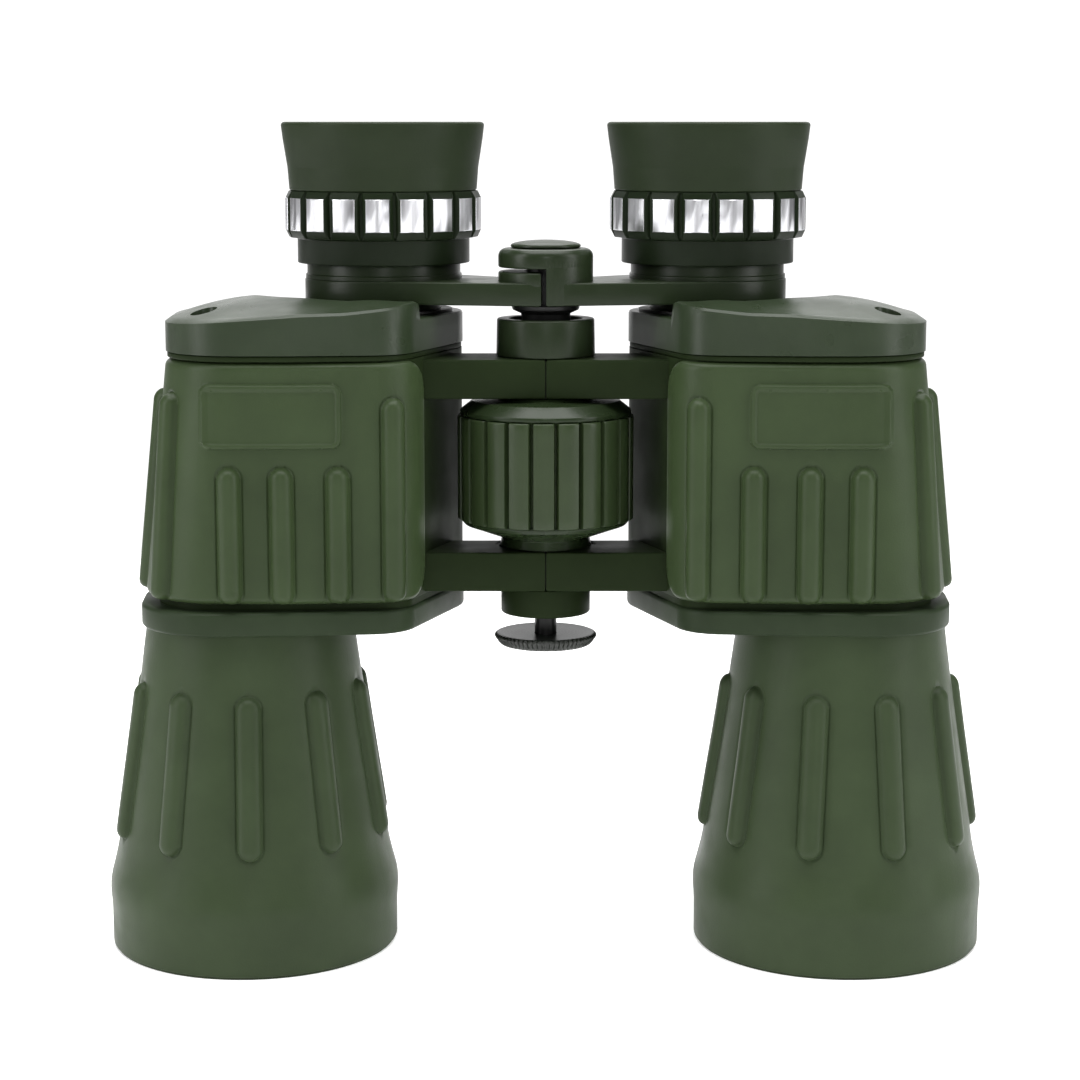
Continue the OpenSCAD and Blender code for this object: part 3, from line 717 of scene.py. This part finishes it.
def lug_block():
    """Plan of a lug's full-height part: web to the wall, hollowed for the other half's knuckle."""
    notch = arc(KNUCKLE_R + SPLIT, WEB_DEG, 145)
    hollow = arc(AXLE_HOLE_R, 267, WEB_DEG + 1)
    return np.concatenate([
        [[wall_x(-LUG_FRONT, 1), -LUG_FRONT], [-SEAM, -LUG_FRONT], [-SEAM, -AXLE_HOLE_R]],
        hollow[1:], notch,
        [[notch[-1][0] - 1.5, LUG_BACK], [wall_x(LUG_BACK, 1), LUG_BACK]],
    ])


def knuckle():
    """Plan of the C-shaped knuckle that turns about the axle."""
    return np.concatenate([arc(KNUCKLE_R, OPEN_DEG, 268), arc(AXLE_HOLE_R, 267, OPEN_DEG)])


def housing(side):
    """The cast housing: thin walls, a lip under the cover, and its hinge lugs."""
    wall, top = 1.8, COVER_LOW - 1.3
    profile = [(-wall, PLATE_TOP), (-0.6, PLATE_TOP), (-0.6, ARMOUR_LOW - 0.05), (-0.15, ARMOUR_LOW),
               (0, ARMOUR_LOW + 0.3)]
    profile += [(0, z) for z in dense(85, 125, 10)] + [(0, top), (-wall, top)]
    lip_low, lip_high = ARMOUR_HIGH + 0.1, COVER_LOW - 0.12
    lip = rounded([(-3, lip_low, 0), (-0.3, lip_low, 0.3), (-0.3, lip_high, 0.3), (-3, lip_high, 0)], 3)
    parts = [swept_block(casting_discs, profile), swept_block(lambda z: COVER_DISCS, lip)]
    for low, high in LUGS:
        middle = (low + high) / 2
        span = (middle + SPLIT / 2, high) if side == LEFT else (low, middle - SPLIT / 2)
        parts.append(plate(lug_block(), low, high, 0.45))
        parts.append(plate(knuckle(), *span, 0.35))
    points, faces = joined(parts)
    # The darker casting enamel paints shade onto the inner walls that face each other between the halves.
    add_piece(side + "_casting", points, faces, side + "_half", SHADED_CASTING,
              [side + "_housing"], side)


def base_plate(side):
    """The base plate, rounded on both rims."""
    inner = -8
    profile = rounded([(inner, BARREL_TOP, 0), (0, BARREL_TOP, 0.7), (0, PLATE_TOP, 0.9),
                       (inner, PLATE_TOP, 0)], 5)
    points, faces = swept_block(lambda z: PLATE_DISCS, profile, closed=False)
    points, faces = capped(points, faces, len(points) // len(profile))
    add_piece(side + "_flange", points, faces, side + "_half", PLATE_ENAMEL,
              [side + "_base_plate"], side)


# ---------- prism covers ----------

SCREW_PLACES = ((-70.5, -13.5), (-66.7, 9.9), (-54.8, 15.9))
SCREW_SEAT = low_z("left_cover_screws") + 15.0
PIT_R = 2.7
RECESS_R = 27.0
RECESS_FLOOR = 136.0
RECESS_LEAN = math.tan(math.radians(20))
RECESS_ROUND = 0.35
COVER_DOME = 2.4
DOME_REACH = 8.0
COVER_FILLET = 0.5
COVER_STEP_DEG = 1.5
COVER_SHARP_DEG = 30
COVER_MIDDLE = np.array([-52.0, 0.0])
COVER_DISCS = np.array([[-61, 0, 18.2], [-62.5, -7.3, 16.7], [-54, -4, 20],
                        [-37, -12, 10.3], [EYEPIECE[0], EYEPIECE[1], 16.9]])


def cover_crease(x, y):
    """Height of the cover's rim, rising from its outer end to its inner front corner."""
    rise = np.interp(x, [-79.2, -65, -50, -41, -31, -25.6], [135.6, 136.8, 137.8, 138.0, 139.0, 139.9])
    return rise + 0.028 * (y + 22)


def edge_distance(points, line):
    """Distance from points to a closed line of points."""
    a, b = line, np.roll(line, -1, 0)
    best = np.full(len(points), 1e9)
    for p, q in zip(a, b):
        d = q - p
        t = np.clip(((points - p) @ d) / max(d @ d, 1e-9), 0, 1)
        best = np.minimum(best, np.linalg.norm(points - p - t[:, None] * d, axis=1))
    return best


def tube_hole():
    """Radius of the hole in the cover for the eyepiece guide."""
    return half_width("left_eyepiece_guide") - 0.3


def ray_exit(origin, direction, line):
    """How far a ray goes from inside a closed convex line before it leaves."""
    best = 0.0
    for p, q in zip(line, np.roll(line, -1, 0)):
        d = q - p
        cross = direction[0] * d[1] - direction[1] * d[0]
        if abs(cross) < 1e-9:
            continue
        w = p - origin
        along = (w[0] * d[1] - w[1] * d[0]) / cross
        share = (w[0] * direction[1] - w[1] * direction[0]) / cross
        if along > 0 and -1e-6 <= share <= 1 + 1e-6:
            best = max(best, along)
    return best


def cover_ray(direction, line):
    """Radii on a ray from the eyepiece's axis: all its points, the recess wall's foot and head, the rim."""
    rim = ray_exit(EYEPIECE, direction, line)
    wall_foot = min(RECESS_R, rim)
    top_at = EYEPIECE + direction * min(RECESS_R + 1, rim)
    wall_h = max(cover_crease(*top_at) + 0.6 - RECESS_FLOOR, 0.0)
    wall_head = min(RECESS_R + RECESS_LEAN * wall_h, rim)
    foot_round = 0.6
    outwards = np.concatenate([np.linspace(0, 0.12, 5)[1:], np.linspace(0.12, 1, 16)[1:]])
    radii = np.concatenate([
        np.linspace(tube_hole(), wall_foot - foot_round, 5)[:-1],
        wall_foot - foot_round + foot_round * np.linspace(0, 1, 4),
        wall_foot + (wall_head - wall_foot) * np.linspace(0, 1, 5)[1:],
        wall_head + (rim - wall_head) * outwards,
    ])
    return radii, wall_foot, wall_head, rim


def cover_height(place, inside, r, wall_foot, wall_head, rim):
    """Height of the cover at a place, inside mm from its rim and r mm from the eyepiece's axis."""
    top = cover_crease(*place) + COVER_DOME * (1 - math.exp(-(inside / DOME_REACH) ** 1.5))
    top = min(top, COVER_HIGH + 0.5) - COVER_FILLET * (1 - float(dome(inside, COVER_FILLET)))
    if rim <= RECESS_R + 0.01 or r <= wall_foot:
        floor = RECESS_FLOOR - 0.5 * (1 - float(dome(inside, 0.5)))
        return min(floor, top) if rim > RECESS_R else floor
    if r < wall_head - 1e-6:
        return mix(RECESS_FLOOR, top - RECESS_ROUND, (r - wall_foot) / (wall_head - wall_foot))
    return top - RECESS_ROUND * (1 - float(dome(r - wall_head, 0.5)))


def cover(side):
    """The cast prism cover, as rays from the eyepiece's axis: recess floor, recess wall, top and side."""
    line, _ = outline(COVER_DISCS, 0, 360, COVER_STEP_DEG)
    angles = np.radians(np.arange(0, 360, COVER_STEP_DEG))
    directions = [np.array([math.cos(a), math.sin(a)]) for a in angles]
    rays = [cover_ray(direction, line) for direction in directions]
    rows = len(rays[0][0])
    flat = np.array([EYEPIECE + d * r for d, ray in zip(directions, rays) for r in ray[0]])
    depth = edge_distance(flat, line)
    heights = []
    for i, (radii, *marks) in enumerate(rays):
        for k, r in enumerate(radii):
            at = i * rows + k
            heights.append(cover_height(flat[at], depth[at], r, *marks))
    heights = np.array(heights).reshape(len(rays), rows)
    points = flat.reshape(len(rays), rows, 2)
    rings = [np.column_stack([points[:, k], heights[:, k]]) for k in range(rows)]
    rim_line, rim_z = points[:, -1], heights[:, -1]
    for share in (0.35, 0.7, 1.0):
        rings.append(np.column_stack([rim_line, mix(rim_z, COVER_LOW, share)]))
    inward = COVER_MIDDLE - rim_line
    inward /= np.linalg.norm(inward, axis=1)[:, None]
    rings += [at_height(rim_line + inward * 2, COVER_LOW), at_height(points[:, 0], COVER_LOW + 1)]
    points, faces = surface(rings, wrap_rows=True)
    piece = add_piece(side + "_cover", points, flipped(faces), side + "_half", ENAMEL,
                      [side + "_prism_cover"], side, COVER_SHARP_DEG)
    cut_screw_pits(piece, side)


def cut_screw_pits(piece, side):
    """Cuts a round pit in the cover over each screw, whose head stays visible in it."""
    flare_z, above = 137.2, 145
    profile = [(0.01, SCREW_SEAT), (PIT_R, SCREW_SEAT), (PIT_R, flare_z), (PIT_R + 0.9, above),
               (0.01, above)]
    points, faces = joined([lathe(profile, place, 40) for place in SCREW_PLACES])
    if side == RIGHT:
        faces = flipped(faces)
    mesh = bpy.data.meshes.new("pits")
    mesh.from_pydata(placed(points, side).tolist(), [], faces)
    cutter = new_object("pits", mesh)
    cut = piece.modifiers.new("pits", "BOOLEAN")
    cut.operation = "DIFFERENCE"
    cut.solver = "EXACT"
    cut.object = cutter
    graph = bpy.context.evaluated_depsgraph_get()
    result = bpy.data.meshes.new_from_object(piece.evaluated_get(graph))
    piece.modifiers.clear()
    piece.data = result
    result.materials.clear()
    result.materials.append(ENAMEL)
    finish_shading(result, COVER_SHARP_DEG)
    bpy.data.objects.remove(cutter)


# ---------- hinge and focus ----------

def collars():
    """The collars above and below the hinge lugs."""
    low, high = span_z("hinge_top_collar")
    points, faces = turned([(6.1, low, 0), (COLLAR_R, low, 0.3), (COLLAR_R - 0.15, high, 0.45),
                            (7.8, high, 0.3), (7.6, high - 5, 0), (6.1, high - 5, 0)], 4)
    add_piece("top_collar", points, faces, "left_half", DARK_ENAMEL,
              ["hinge_top_collar"])
    low, high = span_z("hinge_end_collar")
    hole, radius = 3.2, half_width("hinge_end_collar")
    points, faces = turned([(hole, low, 0), (radius, low, 0.5), (radius, high, 0.2), (hole, high, 0)], 4)
    # The end collar takes the casting's enamel, darkened as painted shade.
    add_piece("end_collar", points, faces, "left_half", SHADED_CASTING, ["hinge_end_collar"])


WHEEL_FLUTES = 22
WHEEL_TURN = -83.2
WHEEL_SEAT_R = 17.0


def wheel_core():
    """The wheel's core: a seat for the grip between bevelled shoulders, over a narrow hub."""
    hole, hub_r, shoulder_r = 6.1, 9.8, 18.2
    points, faces = turned([
        (hole, WHEEL_LOW, 0), (hub_r, WHEEL_LOW, 0.1), (hub_r - 0.45, WHEEL_LOW + 1.9, 0.2),
        (17.3, 91.7, 0.5), (shoulder_r - 0.1, GRIP_LOW - 0.1, 0.3),
        (WHEEL_SEAT_R, GRIP_LOW + 0.4, 0), (WHEEL_SEAT_R, GRIP_HIGH - 0.4, 0),
        (shoulder_r, GRIP_HIGH + 0.3, 0.3), (shoulder_r, GRIP_HIGH + 1.1, 0.4),
        (15.6, GRIP_HIGH + 3.2, 0.5), (10.4, GRIP_HIGH + 3.5, 0.2), (9.6, WHEEL_HIGH, 0.2),
        (hole, WHEEL_HIGH, 0)], 4)
    add_piece("wheel_core", points, faces, "focus_wheel", WHEEL_CORE,
              ["focus_wheel_core"])


def wheel_grip():
    """The wheel's rubber grip: broad, slightly crowned bars with narrow grooves between."""
    half_pitch = math.pi * WHEEL_R / WHEEL_FLUTES
    groove = 0.45
    near = groove + 0.1
    across = merged(dense(-half_pitch, -near, 0.7), dense(-near, near, 0.12),
                    dense(near, half_pitch, 0.7))[:-1]
    sink = 1.5 * dome(groove - np.abs(across), groove * 1.2)
    crown = -0.38 * np.clip(1 - np.abs(across) / half_pitch, 0, 1) ** 2
    edge = 0.35
    rows = np.concatenate([GRIP_LOW + edge * np.array([0, 0.15, 0.5, 1]),
                           np.linspace(GRIP_LOW + 2, GRIP_HIGH - 2, 4),
                           GRIP_HIGH - edge * np.array([1, 0.5, 0.15, 0])])
    flat = np.zeros_like(across)
    rings = [fluted_ring(WHEEL_SEAT_R, flat, across, GRIP_LOW)]
    for z in rows:
        depth = min(z - GRIP_LOW, GRIP_HIGH - z)
        rings.append(fluted_ring(WHEEL_R - edge * (1 - float(dome(depth, edge))), -sink + crown, across, z))
    rings.append(fluted_ring(WHEEL_SEAT_R, flat, across, GRIP_HIGH))
    points, faces = surface(rings, wrap_rows=True)
    add_piece("wheel_grip", points, faces, "focus_wheel", WHEEL_RUBBER,
              ["focus_wheel_grip"], sharp_deg=50)


def fluted_ring(radius, height, across, z):
    """A ring about the hinge axis, whose radius varies alike over each of the wheel's bars."""
    turn = math.radians(WHEEL_TURN)
    angles = np.concatenate([across / WHEEL_R + 2 * math.pi * k / WHEEL_FLUTES + turn
                             for k in range(WHEEL_FLUTES)])
    return ring_at((0, 0), radius + np.tile(height, WHEEL_FLUTES), angles, z)


def dust_cap():
    """The tripod socket's cap: a dished disc with fine knurls round its rim."""
    low, high = span_z("cap_head")
    knurls, points_per_knurl = 64, 6
    angles = np.linspace(0, 2 * math.pi, knurls * points_per_knurl, endpoint=False)
    wave = -0.32 * (0.5 + 0.5 * np.cos(angles * knurls))
    # Radius, height, and how much of the knurls each row takes.
    rows = [(0.01, low, 0), (8.6, low, 0), (9.6, low + 0.1, 0.3), (CAP_R - 0.9, low + 0.5, 1),
            (CAP_R, high - 0.75, 1), (CAP_R - 0.05, high - 0.45, 1), (CAP_R - 0.45, high - 0.1, 0.5),
            (CAP_R - 0.9, high, 0), (CAP_R - 1.5, high - 0.12, 0), (4, high - 0.3, 0),
            (2.45, high - 0.3, 0)]
    points, faces = surface([ring_at((0, 0), r + wave * knurled, angles, z) for r, z, knurled in rows])
    add_piece("cap_disc_body", points, faces, "cap_disc", CAP_FINISH,
              ["cap_head"], sharp_deg=50)


# ---------- bridge ----------

HUB_R = 10.0
SHAFT_HOLE_R = 4.15
ARM_RING_R = 17.0
ARM_BEVEL = 0.45
BACK_DEG = 90 + FOLD_DEG / 2 + 2


def arm_tangents():
    """Angles on the eyepiece ring at which the arm's two straight sides touch it, back to front."""
    heading = math.degrees(math.atan2(EYEPIECE[1], EYEPIECE[0]))
    lean = math.degrees(math.asin((ARM_RING_R - HUB_R) / np.linalg.norm(EYEPIECE)))
    return heading - 90 - lean, heading + 90 + lean


def ordered(loop):
    """The loop anticlockwise, without repeated points."""
    loop = np.array(loop, float)
    keep = np.linalg.norm(loop - np.roll(loop, 1, 0), axis=1) > 0.02
    loop = loop[keep]
    x, y = loop[:, 0], loop[:, 1]
    area = np.sum(x * np.roll(y, -1) - np.roll(x, -1) * y)
    return loop if area > 0 else loop[::-1]


def arm_ring():
    """Plan of the arm's round outer end, from one straight side to the other."""
    return arc(ARM_RING_R, *arm_tangents(), 4, EYEPIECE)


def left_arm():
    """The left arm of the bridge, with the knuckle that rises from it."""
    loop = np.concatenate([
        [[-1.0, -HUB_R + 0.05], [-1.0, -SHAFT_HOLE_R]], arc(SHAFT_HOLE_R, 258, OPEN_DEG, 6),
        arc(HUB_R, BACK_DEG, OPEN_DEG, 4)[::-1], arm_ring(),
    ])
    knuckle_loop = np.concatenate([arc(HUB_R, OPEN_DEG, 264), arc(SHAFT_HOLE_R, 258, OPEN_DEG)])
    points, faces = joined([plate(ordered(loop), ARM_LOW, ARM_HIGH, ARM_BEVEL),
                            plate(knuckle_loop, ARM_HIGH - 1, high_z("left_arm"), ARM_BEVEL)])
    add_piece("left_bridge_arm", points, faces, "focus_carrier", DARK_ENAMEL,
              ["left_arm"])


def right_arm():
    """The right arm of the bridge, drawn on the left: its block and the disc over both knuckles."""
    loop = np.concatenate([
        [[-0.1, -HUB_R + 0.05], [-0.1, -SHAFT_HOLE_R]], arc(SHAFT_HOLE_R, 268, WEB_DEG, 6),
        arc(HUB_R + SPLIT, WEB_DEG, BACK_DEG, 4), arm_ring(),
    ])
    block_loop = np.concatenate([arc(HUB_R, WEB_DEG, 269.4), arc(SHAFT_HOLE_R, 268, WEB_DEG)])
    low, disc_low = low_z("right_arm"), HUB_TOP - 4.0
    disc = turned([(SHAFT_HOLE_R, disc_low, 0), (HUB_R, disc_low, 0.4), (HUB_R, HUB_TOP, 1.7),
                   (SHAFT_HOLE_R, HUB_TOP, 0)], 6, segments=96)
    points, faces = joined([plate(ordered(loop), low, ARM_HIGH, ARM_BEVEL),
                            plate(block_loop, low, HUB_TOP - 2, 0.3), disc])
    add_piece("right_bridge_arm", points, faces, "right_bridge", DARK_ENAMEL,
              ["right_arm"], RIGHT)


def hub_button():
    """The domed button on the bridge's hub."""
    low, high = span_z("hub_button")
    crown = [(7.4 * math.sin(a), mix(low + 0.45, high, math.cos(a)))
             for a in np.linspace(0.12, math.pi / 2, 10)]
    profile = [(0.01, low), (7.1, low), (7.35, low + 0.2)] + crown[::-1] + [(0.01, high)]
    points, faces = lathe(profile, (0, 0), 96, closed=False)
    add_piece("hub_cap", points, faces, "focus_carrier", DARK_ENAMEL, ["hub_button"])


def neck_ring():
    """The black ring under the hub, whose foot reaches down the shaft."""
    low, high = span_z("focus_neck_ring")
    hole, foot = 4.2, low - 3.9
    points, faces = turned([(hole, foot, 0), (5.0, foot, 0.2), (5.2, low, 0.3), (7.0, high - 1.1, 0.4),
                            (7.3, high, 0.2), (hole, high, 0)], 4, segments=96)
    add_piece("neck_ring", points, faces, "focus_carrier", BLACK, ["focus_neck_ring"])


# ---------- eyepieces ----------

INLAYS = 18


def eyepiece_tube(side, body):
    """The black tube below the arm, and the neck above it."""
    bore, tube_r, neck_r = 11.2, 12.2, 16.5
    low, high = span_z("left_eyepiece_tube")
    points, faces = turned([(bore, low, 0), (tube_r, low, 0.3), (tube_r, ARM_HIGH, 0),
                            (neck_r + 0.3, ARM_HIGH, 0), (neck_r + 0.3, ARM_HIGH + 0.8, 0.2),
                            (neck_r, ARM_HIGH + 1.0, 0.1),
                            (neck_r, high, 0.2), (bore, high, 0)], 3, EYEPIECE)
    add_piece(side + "_neck", points, faces, body, DARK_ENAMEL,
              [side + "_eyepiece_tube"], side)


def ring_block(turn_deg, face_r, half, low, high, bevel_h, root_r, bevel_r, crown=0.0):
    """One block of the dioptre ring, flat or slightly crowned across, with sloping ends."""
    ease, draft = 0.18, 0.35
    spine = [(root_r, low), (bevel_r, low), (face_r, low + bevel_h), (face_r, high - bevel_h),
             (bevel_r, high), (root_r, high)]
    a = math.radians(turn_deg)
    out, tangent = np.array([math.cos(a), math.sin(a)]), np.array([-math.sin(a), math.cos(a)])
    columns = [(-half, ease), (-half + ease, 0), (-half / 2, 0), (0, 0), (half / 2, 0), (half - ease, 0),
               (half, ease)]
    points = []
    for across, inset in columns:
        for r, z in spine:
            lift = crown * (1 - (across / half) ** 2) - inset if r > root_r else 0
            narrower = 1 - draft / half * (r > bevel_r)
            points.append([*(EYEPIECE + out * (r + lift) + tangent * across * narrower), z])
    n = len(spine)
    end = (len(columns) - 1) * n
    faces = grid_faces(len(columns), n)
    return np.array(points), faces + [tuple(reversed(range(n))), tuple(range(end, end + n))]


def dioptre(side, turn):
    """The dioptre ring with its skirt and blocks, and the metal inlays."""
    body = side + "_dioptre"
    skirt_r, core_r = 18.5, 20.0
    skirt_bore, seat_bore, block_low = 16.95, 13, 151.9
    half_block, half_inlay = 3.25, 2.9
    ring = turned([(skirt_bore, SKIRT_LOW, 0), (skirt_r, SKIRT_LOW, 0.25), (skirt_r, block_low - 0.3, 0.1),
                   (core_r - 0.4, block_low, 0.2), (core_r, block_low + 0.5, 0.2), (core_r, 161.0, 0.2),
                   (core_r - 0.3, RING_HIGH, 0), (seat_bore, RING_HIGH, 0), (seat_bore, 159, 0),
                   (skirt_bore, 152.5, 0)], 3, EYEPIECE)
    face_r = math.sqrt(RING_R ** 2 - half_inlay ** 2) - 0.2
    turns = [-90 + turn + k * 360 / INLAYS for k in range(INLAYS)]
    blocks = [ring_block(t, face_r, half_block, block_low, RING_HIGH, 1.45, core_r - 0.8, core_r + 0.05)
              for t in turns]
    points, faces = joined([ring] + blocks)
    add_piece(side + "_ring", points, faces, body, RING_PLASTIC,
              [side + "_dioptre_ring"], side, sharp_deg=30)
    points, faces = joined([ring_block(t, face_r + 0.05, half_inlay, INLAY_LOW, INLAY_HIGH, 0.12,
                                       face_r - 0.3, face_r - 0.05, crown=0.28) for t in turns])
    add_piece(side + "_inlays", points, faces, body, ALUMINIUM,
              [side + "_ring_inlays"], side, sharp_deg=30)


def eyecup(side):
    """The soft eyecup, hollow down to its seat on the ring."""
    base_r, low = 20.1, RING_HIGH
    corners = [(base_r - 0.35, low + 0.02, 0.0), (base_r, low + 0.35, 0.2), (base_r + 0.35, low + 5, 3),
               (EYECUP_R - 0.4, EYECUP_TOP - 3.6, 3), (EYECUP_R, EYECUP_TOP - 0.3, 0.7),
               (EYECUP_R - 1.6, EYECUP_TOP, 0.8), (19.0, EYECUP_TOP - 5, 3), (17.6, low + 4, 2),
               (16.2, low + 1.9, 1.5), (11.6, low + 1.6, 0.3), (11.4, low + 0.1, 0)]
    points, faces = turned(corners, 6, EYEPIECE, 160)
    add_piece(side + "_cup", points, faces, side + "_dioptre", CUP_RUBBER,
              [side + "_eyecup"], side)


# ---------- finishes of the CAD nodes that stay ----------

CAD_FINISHES = {
    "cover_screws": STEEL, "prism_shelf": BLACK, "upper_prism": GLASS, "lower_prism": GLASS,
    "prism_clips": STEEL, "objective_tube": BLACK, "objective_lens": GLASS, "objective_retainer": BLACK,
    "eyepiece_guide": BLACK, "hinge_axle": BLACK, "focus_shaft": BLACK, "ocular_cell": BLACK,
    "eye_lens": GLASS, "field_lens": GLASS, "cap_stem": BLACK,
}


def finish_cad_nodes():
    """Gives the CAD nodes that no piece replaces their materials."""
    for name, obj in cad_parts.items():
        if obj.hide_render:
            continue
        short = name.split("_", 1)[1] if name.startswith((LEFT, RIGHT)) else name
        for i in range(len(obj.data.materials)):
            obj.data.materials[i] = CAD_FINISHES[short]


# ---------- stage ----------

MIDDLE = (0, HINGE_Y * MM, 0.09)

# Softboxes, aimed at the middle: place in metres, width, height, power in watts.
SOFTBOXES = {
    "left_softbox": ((-0.80, -0.35, 0.45), 0.3, 0.8, 5),
    "right_softbox": ((0.80, -0.35, 0.45), 0.3, 0.8, 5),
    "front_softbox": ((0.05, -1.3, 0.5), 0.15, 0.3, 2.2),
    "top_softbox": ((0, -0.05, 1.1), 1.1, 0.8, 19),
    "back_softbox": ((0, 0.75, 0.95), 1.0, 0.5, 7),
}


def softbox(name, place, width, height, power):
    """A rectangular light that faces the middle of the object."""
    data = bpy.data.lights.new(name, "AREA")
    data.energy = power
    data.shape = "RECTANGLE"
    data.size = width
    data.size_y = height
    light = new_object(name, data)
    light.location = place
    light.rotation_euler = look_angles(np.array(MIDDLE, float) - np.array(place, float))


def look_angles(direction):
    """Rotation that points a light along a direction."""
    d = direction / np.linalg.norm(direction)
    return (math.acos(-d[2]), 0.0, math.atan2(d[1], d[0]) - math.pi / 2)


def floor():
    """A white floor under the object, a little brighter than its light makes it."""
    wide, near, far = 1.3, -1.0, 0.5
    mesh = bpy.data.meshes.new("floor")
    corners = [(-wide, near, 0), (wide, near, 0), (wide, far, 0), (-wide, far, 0)]
    mesh.from_pydata(corners, [], [(0, 1, 2, 3)])
    material, _, shader = new_material("floor_white")
    set_inputs(shader, {"Base Color": (0.95, 0.95, 0.95, 1), "Roughness": 0.9,
                        "Emission Color": (1, 1, 1, 1), "Emission Strength": 0.3})
    mesh.materials.append(material)
    new_object("floor", mesh)


def studio():
    """A room that is dim in front and white behind, with its softboxes."""
    dim, pale, white = (0.11, 0.11, 0.11), (0.16, 0.16, 0.16), (1, 1, 1)
    world = bpy.data.worlds.new("studio")
    world.use_nodes = True
    tree = world.node_tree
    where = tree.nodes.new("ShaderNodeTexCoord")
    parts = tree.nodes.new("ShaderNodeSeparateXYZ")
    tree.links.new(where.outputs["Generated"], parts.inputs["Vector"])
    depth = mapped(tree, parts.outputs["Y"], 0, 1, -1, 1)
    sky = ramp(tree, depth, [(0.2, dim), (0.88, pale), (0.975, white)])
    tree.links.new(sky.outputs["Color"], tree.nodes["Background"].inputs["Color"])
    set_inputs(tree.nodes["Background"], {"Strength": 1.15})
    bpy.context.scene.world = world
    for name, facts in SOFTBOXES.items():
        softbox(name, *facts)
    bpy.context.scene.view_settings.view_transform = "Standard"


CAMERA_X = -0.0012
CAMERA_BACK = 0.5392
CAMERA_DOWN_DEG = 9.33


def camera():
    """A long lens at eyecup height that looks down a little."""
    data = bpy.data.cameras.new("camera")
    data.lens = 85
    data.sensor_width = 36
    data.clip_start = 0.01
    data.clip_end = 20
    eye = new_object("camera", data)
    eye.location = (CAMERA_X, HINGE_Y * MM - CAMERA_BACK, EYECUP_TOP * MM)
    eye.rotation_euler = (math.radians(90 - CAMERA_DOWN_DEG), 0, 0)
    bpy.context.scene.camera = eye


camera()
for side in (LEFT, RIGHT):
    barrel(side)
    base_plate(side)
    housing(side)
    armour(side)
    cover(side)
    eyepiece_tube(side, "focus_carrier" if side == LEFT else "right_bridge")
    dioptre(side, 0 if side == LEFT else 180 / INLAYS)
    eyecup(side)
collars()
wheel_core()
wheel_grip()
left_arm()
right_arm()
hub_button()
neck_ring()
dust_cap()
finish_cad_nodes()
floor()
studio()
